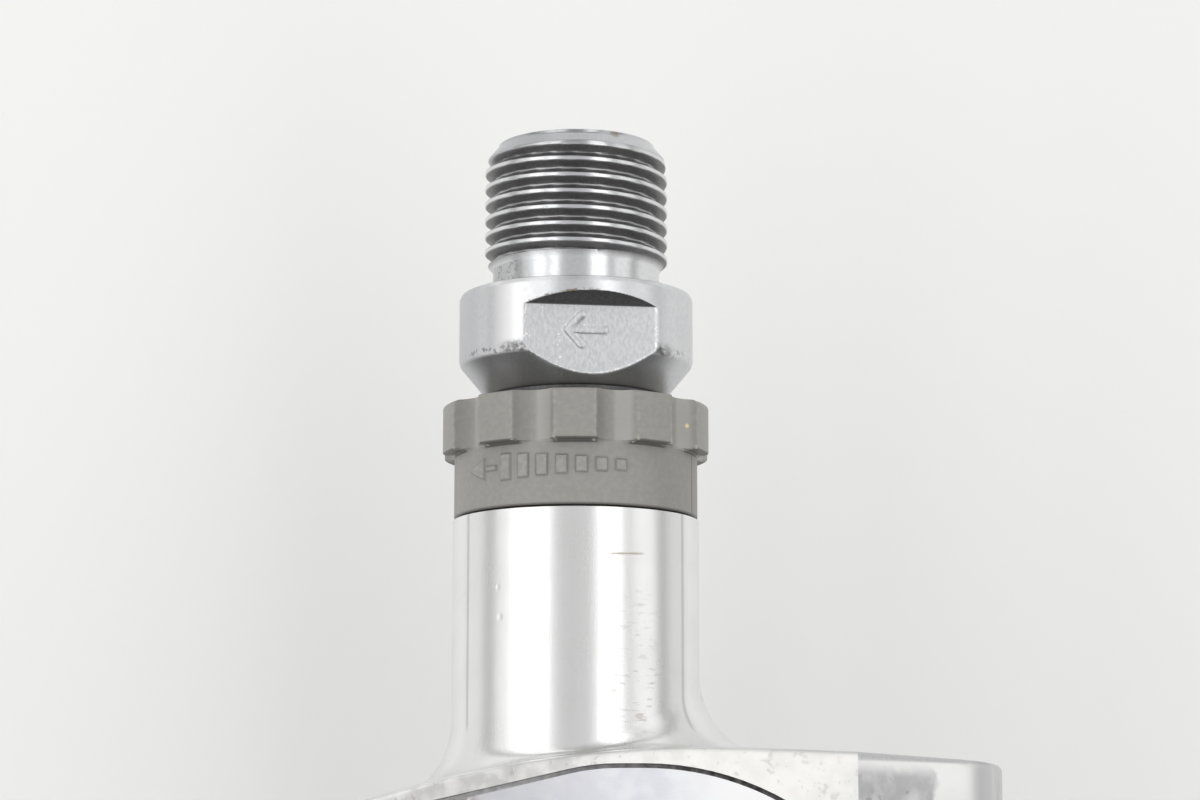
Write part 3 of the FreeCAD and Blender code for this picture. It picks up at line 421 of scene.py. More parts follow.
body_finish, place, shader = new_material("polished_aluminium", {"Metallic": 1.0})
x, y, z = axes_of(place)
half_width = (y - CENTRE_Y).math("ABSOLUTE")
from_axle = (x * x + z * z).math("SQRT")
rearward = x.step(-8.0, 12.0)
trodden = y.step(*TREAD_Y)
behind_bend = x.past(LUG_BEND_X, 0.05)
on_bed = z.step(BED_HEIGHT - 0.35, BED_HEIGHT - 0.02) * (1 - behind_bend)
on_barrel = y.past(BARREL_FOOT_Y, 0.5)
recess_side = (x - RECESS_FLARE_X) * RECESS_FLARE + RECESS_NARROW_HALF_WIDTH
within_sides = half_width.past(RECESS_WIDE_HALF_WIDTH, -0.1) * (recess_side - half_width).step(0.0, 0.1)
in_recess = within_sides * x.past(RECESS_FRONT_X, 0.15)
recess_wall = z.step(BED_HEIGHT - 0.1, BED_HEIGHT - 0.3) * z.past(RECESS_FLOOR, 0.1)
# The wall of the gap round the plate, which is painted dark.
dark_gap = in_recess * recess_wall * (1 - behind_bend)
on_lug = behind_bend * z.past(LUG_FOOT_HEIGHT, 0.5)
lug_top = on_lug * half_width.step(*LUG_TOP_HALF_WIDTHS) * (1 - trodden)
lug_end = on_lug * x.past(LUG_END_X, 0.6)
ragged = noise(place, 0.7, 5.0) * 3.0 - 1.5
patch_length = (x + ragged * 0.5).band(*LUG_PATCH_X, 0.5)
patch_width = (half_width + ragged * 0.4).past(LUG_PATCH_HALF_WIDTH, -0.5)
lug_patch = patch_length * patch_width * on_lug
off_barrel = trodden.either(from_axle.step(*BARREL_REACH)).either(z.step(*BARREL_UNDERSIDE))
satin = off_barrel * (1 - on_bed) * (1 - lug_top)
print("body regions found")

# %% [markdown]
# The marks on the barrel are few and can be counted: a short scratch, a patch of brown stains and two
# small dents. Two faint dark lines along the sides are a painted reflection, and just inside those
# lines the colour is painted darker, a painted shade that is deeper on the rear side.

# %% Marks on the barrel
REFLECTED_LINE_ANGLE = 1.021
REFLECTED_LINE_HALF_WIDTH = 0.009
SIDE_SHADE_ANGLES = (0.78, 1.0)
SCRATCH_Y = -27.9
SCRATCH_X = (2.9, 4.8)
SCRATCH_SLANT = 0.05
STAINS = [((4.6, -38.2, 8.2), 4.2), ((4.2, -33.0, 8.5), 3.6)]
DENTS = [((-5.6, -32.35, 7.7), 0.32), ((-5.75, -30.1, 7.56), 0.26)]

haze = noise(place, 0.35, 3.0)
hairs = noise(place, 1.0, 6.0, (9.0, 0.6, 9.0))
flecks = noise(place, 1.6, 5.0)
clouds = noise(place, 0.7, 4.0)
scribbles = noise(place, 1.5, 5.0, (0.6, 2.4, 0.6))
from_top = x.math("ARCTAN2", z).math("ABSOLUTE")
# A painted reflection: two thin dark lines along the barrel's sides.
reflected_line_start = REFLECTED_LINE_ANGLE - REFLECTED_LINE_HALF_WIDTH
reflected_line_end = REFLECTED_LINE_ANGLE + REFLECTED_LINE_HALF_WIDTH
painted_reflection_lines = from_top.band(reflected_line_start, reflected_line_end, 2 * REFLECTED_LINE_HALF_WIDTH) * on_barrel
# A painted shade: a band just inside those lines is painted darker.
side_shade_band = from_top.band(*SIDE_SHADE_ANGLES, 0.14)
from_scratch = (y - SCRATCH_Y - x * SCRATCH_SLANT).math("ABSOLUTE")
scratch_line = from_scratch.step(0.12, 0.02) * x.band(*SCRATCH_X, 0.5) * z.step(5.0, 6.0)
scratch = scratch_line * flecks.step(0.36, 0.48) * 0.7
strong_patch, weak_patch = (spot(place, centre, radius) for centre, radius in STAINS)
stain_patch = strong_patch.either(weak_patch * 0.6)
stains = stain_patch * x.step(2.0, 2.8) * scribbles.step(0.56, 0.66)
first_dent, second_dent = (spot(place, centre, radius) for centre, radius in DENTS)
dents = first_dent.either(second_dent)
brown = scratch.either(stains * 0.38)
print("barrel marks placed")

# %% [markdown]
# The colours are laid over one another like coats of paint: each line takes the coat before it, and a
# mask says where the new colour shows. That keeps the order of the coats easy to read, from the polish
# underneath to the dark gap on top.

# %% Body finish
pits = flecks.step(0.60, 0.70)
polished = haze.step(0.3, 0.75).blend(colour(0.90, 0.90, 0.895), colour(0.86, 0.86, 0.85))
marked = brown.blend(polished, colour(0.34, 0.27, 0.19))
# Painted shade on the barrel's sides, deeper on the rear side.
side_shade = side_shade_band * (0.42 - x.step(2.0, -2.0) * 0.18)
side_shaded = side_shade.blend(marked, colour(0.55, 0.55, 0.54))
# The painted reflection lines go on over the painted side shade.
reflection_lined = (painted_reflection_lines * 0.45).blend(side_shaded, colour(0.35, 0.35, 0.36))
brushed = hairs.step(0.3, 0.7).blend(colour(0.64, 0.64, 0.645), colour(0.56, 0.56, 0.565))
satin_sides = satin.blend(reflection_lined, brushed)
rim_clouds = clouds.step(0.35, 0.65) * (1.2 - rearward)
rim = rim_clouds.blend(colour(0.99, 0.985, 0.965), colour(0.78, 0.775, 0.755))
trodden_rim = (trodden * 0.85).blend(rim, colour(0.66, 0.655, 0.645))
worn_rim = on_bed.blend(satin_sides, trodden_rim)
nicked = (on_bed * pits * (0.4 - rearward * 0.2)).blend(worn_rim, colour(0.42, 0.39, 0.34))
patch_shade = lug_patch * (clouds.step(0.25, 0.65) * 0.45 + pits * 0.3 + 0.34)
dull_lug = patch_shade.either(lug_end * 0.7).blend(nicked, colour(0.45, 0.45, 0.46))
# The gap round the plate is painted dark, darkest towards the rear.
gap_darkness = rearward * 0.7 + flecks.step(0.3, 0.7) * 0.3
gap_dark_colour = gap_darkness.blend(colour(0.88, 0.87, 0.86), colour(0.10, 0.095, 0.09))
scuffed_away = on_bed * (rearward * 0.42 + 0.10) + on_lug * 0.10 + lug_patch * 0.15
gloss_lost = scuffed_away + dark_gap * 0.25 + brown * 0.2 + satin * 0.12
dug_in = dents * 2.0 + (on_bed + lug_patch) * pits * 1.2
feed(
    shader,
    Base_Color=dark_gap.blend(dull_lug, gap_dark_colour),
    Roughness=haze * 0.06 + hairs * 0.06 + gloss_lost + 0.20,
    Normal=(hairs * 0.2 - dug_in).bump(0.5, 0.02),
)
dress("pedal_body", body_finish)
print("body finish made")

# %% [markdown]
# ## Satin wear plate
#
# The plate in the bed is thin stainless sheet with a soft grain, cooler than the body round it. Its
# middle is rubbed grey by shoes, a brown smear of old grease lies near its front edge, and its rear end
# is painted brighter, a painted highlight. Its screws are the same metal, with their sockets coloured
# near black.

# %% Plate finish
SMEAR_PLACE = (-8.5, CENTRE_Y + 13.9, BED_HEIGHT)
SMEAR_RADIUS = 2.4

plate_finish, place, shader = new_material("satin_stainless", {"Metallic": 1.0})
x, y, _ = axes_of(place)
grain = noise(place, 1.0, 5.0, (0.5, 14.0, 1.0))
clouds = noise(place, 0.4, 4.0)
smear = spot(place, SMEAR_PLACE, SMEAR_RADIUS) * noise(place, 1.0, 4.0).step(0.32, 0.50)
rearward = x.step(-6.0, 10.0)
trodden = y.step(*TREAD_Y)
clean_plate = clouds.step(0.35, 0.7).blend(colour(0.90, 0.905, 0.93), colour(0.80, 0.80, 0.85))
# A painted highlight: the plate is painted brighter towards its rear end.
painted_highlight_end = x.step(4.0, 12.0).blend(clean_plate, colour(0.98, 0.98, 0.985))
scuffs = grain.step(0.35, 0.65).blend(colour(0.58, 0.58, 0.60), colour(0.47, 0.47, 0.49))
rubbed_plate = (trodden * 0.85).blend(painted_highlight_end, scuffs)
gloss_lost = rearward.either(trodden * 0.3) * 0.45 + smear * 0.2
feed(
    shader,
    Base_Color=(smear * 0.7).blend(rubbed_plate, colour(0.20, 0.14, 0.12)),
    Roughness=grain * 0.14 + clouds * 0.08 + gloss_lost + 0.22,
    Normal=grain.bump(0.10, 0.02),
)
dress("cover_plate", plate_finish)
print("plate finish made")

# %% Screw finish
screw_finish, place, shader = new_material("stainless_screw", {"Metallic": 1.0})
height = axes_of(place)[2]
# Below the bed the screw sockets are coloured near black.
sunk = height.step(BED_HEIGHT - 0.1, BED_HEIGHT - 0.6)
feed(
    shader,
    Base_Color=sunk.blend(colour(0.62, 0.62, 0.63), colour(0.05, 0.05, 0.05)),
    Roughness=noise(place, 3.0, 3.0) * 0.2 + sunk * 0.3 + 0.2,
)
dress("cover_screws", screw_finish)
print("screw finish made")

# %% [markdown]
# ## Surfaces from formulas
#
# A turned part is a surface with two parameters: one walks along its outline, the other goes round
# its axis. Both are arrays, so the radius at every point comes from one formula with no loop. These
# helpers take the finished grid of points, join it into a closed mesh, and keep masks with it that
# the material can read. Steps are fine on the side that the camera sees and coarse behind, which
# keeps the meshes light.

# %% Grid helpers
WELD_DISTANCE = 1e-4
SHARP_DEGREES = 35


def run(points, spacing):
    """An outline through (station, radius) corners, with steps no longer than the spacing."""
    corners = np.array(points, float)
    lengths = np.linalg.norm(np.diff(corners, axis=0), axis=1)
    counts = np.maximum(1, np.ceil(lengths / spacing)).astype(int)
    pieces = [np.linspace(a, b, n, endpoint=False) for a, b, n in zip(corners[:-1], corners[1:], counts)]
    return np.vstack(pieces + [corners[-1:]])


def eased_edge(station, radius, reach, middle):
    """Corners of an edge eased from a flat face out to a rim: the bend's two ends and its middle."""
    return [(station, radius - reach), (station + middle, radius - middle), (station + reach, radius)]


def round_angles(half_seen, seen_step, far_step):
    """Angles once round, from degrees: fine steps on the side that is seen, coarse ones on the rest."""
    seen = np.arange(-half_seen, half_seen, seen_step)
    rest = np.arange(half_seen, 360 - half_seen, far_step)
    return np.radians(np.concatenate([seen, rest]))[None, :]


def smooth_step(value, low, high):
    """0 below low, 1 above high, and an S between: three squares less two cubes of the share of the way."""
    t = np.clip((value - low) / (high - low), 0, 1)
    return t * t * (3 - 2 * t)


def bump_between(value, low, high, soft):
    """1 between low and high, fading over the softness outside them."""
    return smooth_step(value, low - soft, low) * smooth_step(value, high + soft, high)


def softer_of(first, second, softness):
    """The smaller of two arrays, its crease rounded by the log of a sum of exponentials."""
    return first - softness * np.logaddexp(0, (first - second) / softness)


def round_the_axle(station, radius, angle):
    """Points in metres from stations, radii and angles. The angle is from straight up towards the rear."""
    across = radius * np.sin(angle)
    along = CRANK_FACE_Y - station + 0 * across
    return np.stack([across, along, radius * np.cos(angle)], axis=-1) * MM


def grid_faces(rows, columns, wrap_rows):
    """Quads over a grid whose columns close into a ring. The rows close too when asked."""
    row = np.arange(rows if wrap_rows else rows - 1)[:, None]
    column = np.arange(columns)[None, :]
    next_row = (row + 1) % rows
    next_column = (column + 1) % columns
    corners = [row * columns + column, next_row * columns + column]
    corners += [next_row * columns + next_column, row * columns + next_column]
    return np.stack(corners, axis=-1).reshape(-1, 4)


def weld(mesh):
    """Join points that fell on one another, which takes away the faces of no area between them."""
    welded = bmesh.new()
    welded.from_mesh(mesh)
    bmesh.ops.remove_doubles(welded, verts=welded.verts, dist=WELD_DISTANCE * MM)
    welded.to_mesh(mesh)
    welded.free()


def surface(name, points, material, wrap_rows=False, masks=()):
    """A closed mesh from a grid of points. Open ends are closed with a fan to the middle of the end row."""
    rows, columns, _ = points.shape
    vertices = points.reshape(-1, 3)
    faces = grid_faces(rows, columns, wrap_rows).tolist()
    if not wrap_rows:
        ring = np.arange(columns)
        following = (ring + 1) % columns
        last = (rows - 1) * columns
        middles = np.stack([points[0].mean(axis=0), points[-1].mean(axis=0)])
        first_middle = len(vertices)
        vertices = np.vstack([vertices, middles])
        start_fan = np.stack([ring, following, np.full(columns, first_middle)], axis=-1)
        end_fan = np.stack([last + following, last + ring, np.full(columns, first_middle + 1)], axis=-1)
        faces += start_fan.tolist() + end_fan.tolist()
    mesh = bpy.data.meshes.new(name)
    mesh.from_pydata(vertices.tolist(), [], faces)
    for mask, values in dict(masks).items():
        held = np.zeros(len(vertices))
        held[: rows * columns] = np.broadcast_to(values, (rows, columns)).ravel()
        mesh.attributes.new(mask, "FLOAT", "POINT").data.foreach_set("value", held)
    mesh.validate()
    weld(mesh)
    mesh.materials.append(material)
    mesh.shade_smooth()
    mesh.set_sharp_from_angle(angle=math.radians(SHARP_DEGREES))
    piece = bpy.data.objects.new(name, mesh)
    scene.collection.objects.link(piece)
    print(name, "has", sum(len(p.vertices) - 2 for p in mesh.polygons), "triangles")
    return piece


print("grid helpers ready")

# %% [markdown]
# ## Chrome with grease and painted shade in the thread
#
# The axle is chrome over ground steel. The masks come with the mesh: grease and painted shade in the
# thread, painted shade with some soot behind the flange and on the ledge above the wrench flat, a
# painted glint along the flat's edge, and the flat itself, which is ground and scatters light more.

# %% Marks on the axle
FLANGE_EDGE_Y = CRANK_FACE_Y - FLANGE_LENGTH
TIP_EDGE_Y = 4.3
RUST_PLACE = (3.07, 5.41, 5.56)
RUST_RADIUS = 0.62
GLINT_PLACE = (-1.0, CRANK_FACE_Y - 7.6, 7.2)
GLINT_RADIUS = 2.6

chrome, place, shader = new_material("chrome_plate", {"Metallic": 1.0})
x, y, z = axes_of(place)
grease_and_shade = painted(place, "grease_and_shade")
shade_and_soot = painted(place, "shade_and_soot")
on_flat = painted(place, "flat")
speckle = noise(place, 3.0, 4.0)
streaks = noise(place, 2.0, 5.0, (2.5, 0.7, 2.5))
grit = noise(place, 5.0, 3.0, (1.0, 0.5, 1.0))
specks = noise(place, 2.5, 3.0).step(0.52, 0.62)
glint_specks = noise(place, 4.0, 1.5, (1.3, 0.6, 1.3)).step(0.68, 0.73)
# Painted glints: a few specks on the cone are kept clear of the painted shade.
glints_on_cone = glint_specks * spot(place, GLINT_PLACE, GLINT_RADIUS)
on_flange = y.past(CRANK_FACE_Y, -0.1)
on_tip = y.past(TIP_EDGE_Y, 0.3)
topside = z.step(3.0, 5.0) * (1 - on_flat)
lower_edge = y.band(FLANGE_EDGE_Y - 0.3, FLANGE_EDGE_Y + 0.2, 0.25) * topside
corners = x.band(-4.8, -4.2, 1.3).either(x.band(6.4, 6.6, 1.2)) * topside
edge_band = y.band(FLANGE_EDGE_Y - 0.2, FLANGE_EDGE_Y + 0.1, 0.7)
smudges = corners * edge_band * (speckle.step(0.3, 0.6) * 0.6 + 0.3)
neck_front = y.band(CRANK_FACE_Y + 0.2, CRANK_FACE_Y + 1.9, 0.2) * x.step(-2.8, -6.2)
neck_side = neck_front * (specks * 0.35 + 0.40)
rust_spot = spot(place, RUST_PLACE, RUST_RADIUS) * specks.step(-0.4, 0.2)
rust = rust_spot.either(painted(place, "edge") * specks)
print("axle marks placed")

# %% Axle finish
# A painted highlight on the flange, beside the flat on its front side.
painted_flange_highlight = on_flange * x.band(-5.8, -4.6, 0.8)
# Painted shade on the tip's front side.
tip_shade_side = on_tip * x.step(-1.0, -3.0)
side_angle = x.math("ARCTAN2", z).math("ABSOLUTE")
# Painted shade: the tip, and the flange's sides turned away from overhead, are painted darker, the flange's
# rear side less.
turned_away = side_angle.step(0.65, 1.1) * (0.9 - x.step(3.0, 6.0) * 0.60)
shaded = on_tip * 0.8 + on_flange * turned_away + speckle.step(0.3, 0.8) * 0.3
shaded_chrome = shaded.blend(colour(0.74, 0.745, 0.755), colour(0.55, 0.555, 0.57))
shaded_tip = tip_shade_side.blend(shaded_chrome, colour(0.45, 0.455, 0.47))
highlighted = (painted_flange_highlight * 0.8).blend(shaded_tip, colour(0.90, 0.90, 0.905))
ground = grit.step(0.30, 0.70).blend(colour(0.57, 0.575, 0.585), colour(0.68, 0.685, 0.695))
# Painted glints: bright specks on the front of the flat and along its edge.
edge_glints = painted(place, "flat_edge_glint") * specks.step(-0.3, 0.5)
painted_glints = (glint_specks * x.step(3.5, -1.0)).either(edge_glints)
glinting_flat = (painted_glints * 0.9).blend(ground, colour(0.98, 0.98, 0.98))
metal = on_flat.blend(highlighted, glinting_flat)
# Grease and painted shade in the thread's valleys take a dark colour.
thread_darkened = (grease_and_shade * (streaks * 0.30 + 0.80)).blend(metal, colour(0.175, 0.170, 0.170))
# Painted shade with some soot, the smudges at the flange's edge and the dirt on the neck's front take this
# dark colour.
shade_and_dirt_colour = streaks.step(0.20, 0.80).blend(colour(0.085, 0.085, 0.09), colour(0.130, 0.128, 0.127))
dark = shade_and_soot.either(lower_edge * specks * 0.6).either(smudges).either(neck_side)
darkened = (dark * (1 - glints_on_cone)).blend(thread_darkened, shade_and_dirt_colour)
gloss_lost = on_flange * 0.10 + on_flat * 0.12 + grease_and_shade * 0.20 + shade_and_soot * 0.12
feed(
    shader,
    Base_Color=(rust * 0.75).blend(darkened, colour(0.19, 0.15, 0.08)),
    Roughness=gloss_lost + speckle * 0.10 + 0.17,
    Normal=(speckle * 0.15 + on_flat * (grit * 0.8 + glint_specks * 0.5)).bump(0.4, 0.02),
)
dress("axle", chrome)
print("chrome made")

# %% [markdown]
# ## The axle
#
# The outline is turned like the real forging. The thread is a V that winds the left-hand way: going
# round towards the rear it moves outboard. Two tilted planes cut each wrench flat, the flat itself
# and the steep ledge at its top, so the radius there is the smaller of the turned radius and the
# distance to the plane along that angle.

# %% Axle sizes
TIP_RADIUS = 6.2
TIP_EASE = (0.35, 0.1)
THREAD_PITCH = 1.27
THREAD_DEPTH = 0.74
CREST_STATION = -5.695
CREST_SHARE = 0.22
ROOT_SHARE = 0.12
THREAD_END = -2.2
LEAD_END = -10.75
NECK_RADIUS = 6.5
NECK_FILLET = 0.35
NECK_FILLET_MIDDLE = 0.1
FLANGE_RADIUS = axle_high[0]
FLANGE_EASE = (0.45, 0.13)
CONE_END = 8.1
LAND_RADIUS = 6.9
LAND_END = 13.5
SHAFT_RADIUS = 5.1
SHAFT_START = 15.3
BEARING_START = 57.0
BEARING_END = 62.0
BEARING_SEAT_RADIUS = 4.0
NUT_THREAD_RADIUS = 3.0
DRILL_DEPTH = 2.1
DRILL_RADIUS = 1.6
FLAT_TURN = math.radians(9.0)
FLAT_DISTANCE = 7.5
FLAT_START = 2.1
FLAT_SOFTNESS = 0.04
LEDGE_SLOPE = 1.78
SHADE_TURN = math.radians(6.0)
STAMP_DEPTH = 0.16
STAMP_HALF_STROKE = 0.24
print("wrench flats", 2 * FLAT_DISTANCE, "mm apart")

# %% Axle outline
LEAD_SPACING = 0.12
THREAD_SPACING = 0.06
SEAT_SPACING = 0.11
LEDGE_SPACING = 0.045
WRENCH_SPACING = 0.10

lead_in = eased_edge(TIP_STATION, TIP_RADIUS, *TIP_EASE) + [(LEAD_END - 0.2, THREAD_RADIUS - 0.25)]
threaded = [
    (LEAD_END - 0.15, THREAD_RADIUS - 0.22),
    (LEAD_END + 0.8, THREAD_RADIUS),
    (THREAD_END - 0.3, THREAD_RADIUS),
]
seat = [
    (THREAD_END + 0.25, NECK_RADIUS),
    (-NECK_FILLET, NECK_RADIUS),
    (-NECK_FILLET_MIDDLE, NECK_RADIUS + NECK_FILLET_MIDDLE),
    (0, NECK_RADIUS + NECK_FILLET),
]
seat += eased_edge(0, FLANGE_RADIUS, *FLANGE_EASE)
ledge_rows = [(0.50, FLANGE_RADIUS), (FLAT_START + 0.1, FLANGE_RADIUS)]
wrench_rows = [
    (FLAT_START + 0.2, FLANGE_RADIUS),
    (FLANGE_LENGTH - 0.2, FLANGE_RADIUS),
    (FLANGE_LENGTH + 0.15, FLANGE_RADIUS - 0.1),
    (CONE_END, LAND_RADIUS),
]
plain_end = [
    (LAND_END, LAND_RADIUS),
    (SHAFT_START, SHAFT_RADIUS),
    (BEARING_START, SHAFT_RADIUS),
    (BEARING_START, BEARING_SEAT_RADIUS),
    (BEARING_END, BEARING_SEAT_RADIUS),
    (BEARING_END, NUT_THREAD_RADIUS),
    (AXLE_END_STATION, NUT_THREAD_RADIUS),
]
drill = [(TIP_STATION + DRILL_DEPTH, 0.05), (TIP_STATION, DRILL_RADIUS), (TIP_STATION, DRILL_RADIUS + 2.0)]
outline = np.vstack(
    [
        drill,
        run(lead_in, LEAD_SPACING),
        run(threaded, THREAD_SPACING),
        run(seat, SEAT_SPACING),
        run(ledge_rows, LEDGE_SPACING),
        run(wrench_rows, WRENCH_SPACING),
        plain_end,
    ]
)
station = outline[:, :1]
turned_radius = outline[:, 1:]
angle = round_angles(half_seen=42, seen_step=0.56, far_step=2.4) + FLAT_TURN
print("axle grid", len(outline), "by", angle.size)

# %% Thread and wrench flats
LEAST_FACING = 0.2
CLEAR_RADIUS = 99.0


def flat_limit(turn):
    """Radius at which a ray from the axis meets the wrench flat or, nearer the crank, its ledge."""
    distance = FLAT_DISTANCE + np.maximum(0, FLAT_START - station) * LEDGE_SLOPE
    facing = np.cos(angle - turn)
    return np.where(facing > LEAST_FACING, distance / np.maximum(facing, LEAST_FACING), CLEAR_RADIUS)


turns = ((station - CREST_STATION) / THREAD_PITCH - angle / (2 * math.pi)) % 1.0
valley = 1 - np.abs(2 * turns - 1)
starts = smooth_step(station, LEAD_END - 0.15, LEAD_END + 0.25)
in_thread = starts * smooth_step(station, THREAD_END - 0.1, THREAD_END - 0.35)
vee = np.clip((valley - CREST_SHARE) / (1 - CREST_SHARE - ROOT_SHARE), 0, 1)
radius = turned_radius - THREAD_DEPTH * vee * in_thread

has_flats = (station > 0.3) & (station < CONE_END + 0.2)
cut_away = np.zeros(radius.shape)
for turn in (FLAT_TURN, FLAT_TURN + math.pi):
    cut_away = np.maximum(cut_away, radius - flat_limit(turn))
    cut = softer_of(radius, flat_limit(turn), FLAT_SOFTNESS)
    radius = np.where(has_flats, cut, radius)
print("deepest cut of the flats", round(float((cut_away * has_flats).max()), 2), "mm")

# %% Stamped arrow
ARROW_TIP = (-1.8, 4.0)
ARROW_STROKES = [((1.0, 4.0), ARROW_TIP), ((-0.75, 2.85), ARROW_TIP), ((-0.75, 5.15), ARROW_TIP)]


def from_segment(across, along, start, end):
    """Distance from each point to a straight stroke: to its nearest point, a share of the way along it."""
    start, end = np.array(start), np.array(end)
    way = end - start
    share = ((across - start[0]) * way[0] + (along - start[1]) * way[1]) / (way @ way)
    share = np.clip(share, 0, 1)
    return np.hypot(across - start[0] - share * way[0], along - start[1] - share * way[1])


across_flat = radius * np.sin(angle - FLAT_TURN)
nearest = np.min([from_segment(across_flat, station, a, b) for a, b in ARROW_STROKES], axis=0)
stamped = smooth_step(nearest, STAMP_HALF_STROKE * 1.5, STAMP_HALF_STROKE * 0.6)
on_top = (np.cos(angle - FLAT_TURN) > 0.5) & has_flats
radius = radius - np.where(on_top, STAMP_DEPTH * stamped, 0)
print("arrow of", len(ARROW_STROKES), "strokes stamped", STAMP_DEPTH, "mm deep")

# %% [markdown]
# Grease and painted shade lie in the thread's valleys, with a painted reflection line low in each, and
# painted shade with some soot on the ledge, the cone and the seal land. The formulas that made the shape
# already know where those are, so the masks are worked out on the same grid and stored on the mesh's
# points.

# %% Axle masks
# Grease and painted shade in the thread: darkest on each valley's upper flank, with a painted reflection
# line low in the valley.
upper_side = bump_between(turns, 0.16, 0.44, 0.07)
valley_reflection = bump_between(turns, 0.54, 0.62, 0.06)
lower_side = bump_between(turns, 0.50, 0.88, 0.06) * (0.78 - 0.28 * valley_reflection)
is_cut = smooth_step(cut_away, 0.0, 0.03) * has_flats
flat_mask = is_cut * smooth_step(station, FLAT_START - 0.02, FLAT_START + 0.05)
# A painted glint along the flat's edge.
flat_edge_glint = bump_between(cut_away, 0.02, 0.09, 0.03) * flat_mask
# Painted shade with some soot: the ledge above the flat, the cone behind the flange, most where it faces
# up, and the seal land.
ledge = is_cut * smooth_step(station, FLAT_START + 0.03, FLAT_START - 0.05)
behind = smooth_step(station, FLANGE_LENGTH + 0.1, FLANGE_LENGTH + 0.4) * (1 - flat_mask)
facing_up = smooth_step(np.cos(angle + SHADE_TURN), 0.27, 0.72)
down_cone = smooth_step(station, FLANGE_LENGTH + 0.3, CONE_END)
cone_shade = behind * (facing_up * (0.78 - 0.45 * down_cone) + 0.12)
land_shade = smooth_step(station, CONE_END - 0.25, CONE_END)
past_ledge = turned_radius - flat_limit(FLAT_TURN)
front_side = smooth_step(np.sin(angle - FLAT_TURN), 0.2, -0.2) * has_flats
above_flat = smooth_step(station, FLAT_START - 0.05, FLAT_START - 0.2)
ledge_edge = bump_between(past_ledge, -0.20, 0.03, 0.08) * front_side * above_flat
masks = {
    "grease_and_shade": np.maximum(upper_side, lower_side) * in_thread,
    "shade_and_soot": np.maximum.reduce([ledge, cone_shade, land_shade + 0 * angle]),
    "flat": flat_mask,
    "edge": ledge_edge,
    "flat_edge_glint": flat_edge_glint,
}
axle_points = round_the_axle(station, radius, angle)
axle_piece = surface("axle_with_thread", axle_points, chrome, masks=masks)
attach(axle_piece, "axle")
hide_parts("axle")

# %% [markdown]
# ## The lock bolt
#
# The lock bolt is one grey moulding. Its collar has ten splines with scooped grooves between them.
# The sleeve below carries a raised arrow and a scale of bars that grow towards it, to show which way
# it turns. All of it is again one formula for the radius. Painted shade lies in the grooves' corners,
# under the splines, round the marks and along the sleeve's foot, the other half of each groove has a
# painted highlight, and the edges of the splines are rubbed pale with a painted highlight on them.

# %% Lock bolt finish
SPECK_PLACE = (8.49, -17.45, 4.885)
SPECK_RADIUS = 0.24

grey_moulding, place, shader = new_material("grey_moulding", {"Metallic": 0.0})
shade_and_seam = painted(place, "shade_and_seam")
rubbed_and_highlight = painted(place, "rubbed_and_highlight")
crumbs = noise(place, 2.4, 4.0)
fine_pits = noise(place, 7.0, 3.0)
speck = spot(place, SPECK_PLACE, SPECK_RADIUS)
moulded = crumbs.step(0.35, 0.7).blend(colour(0.295, 0.288, 0.266), colour(0.322, 0.315, 0.293))
# Painted shade and the parting seam take the dark colour.
shaded_moulding = shade_and_seam.blend(moulded, colour(0.055, 0.052, 0.046))
# A painted highlight in one half of each groove.
groove_lit = (painted(place, "painted_groove_light") * 0.7).blend(shaded_moulding, colour(0.42, 0.41, 0.385))
# Wear and a painted highlight on the spline edges and the marks' tops.
worn_and_lit = (rubbed_and_highlight * crumbs.step(0.40, 0.62)).blend(groove_lit, colour(0.46, 0.43, 0.38))
feed(
    shader,
    Base_Color=speck.blend(worn_and_lit, colour(0.82, 0.68, 0.38)),
    Roughness=crumbs * 0.12 + 0.42,
    Normal=fine_pits.bump(0.12, 0.02),
)
dress("lock_bolt", grey_moulding)
print("grey moulding made")

# %% Lock bolt sizes
bolt_low, bolt_high = (np.array(corner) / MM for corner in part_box("lock_bolt"))
COLLAR_START = CRANK_FACE_Y - bolt_high[1]
SHANK_END = CRANK_FACE_Y - bolt_low[1]
COLLAR_RADIUS = bolt_high[2]
COLLAR_LENGTH = 3.8
COLLAR_FACE_WIDTH = 2.0
COLLAR_EASE = (0.30, 0.09)
COLLAR_CHAMFER = 0.12
SLEEVE_RADIUS = 9.4
SLEEVE_LENGTH = 4.85
SLEEVE_FILLET = 0.08
SLEEVE_CHAMFER = 0.15
SHANK_RADIUS = 8.58
BOLT_BORE_RADIUS = 7.4
SEAL_POCKET_RADIUS = 8.3
SEAL_POCKET_START = COLLAR_START + 0.7
SEAL_POCKET_END = COLLAR_START + 3.3
SPLINES = 10
GROOVE_RADIUS = 2.0
GROOVE_DEPTH = 0.95
GROOVE_SOFTNESS = 0.06
print("lock bolt from station", round(COLLAR_START, 2), "to", round(SHANK_END, 2))

# %% Lock bolt outline
COLLAR_SPACING = 0.12
SLEEVE_SPACING = 0.07

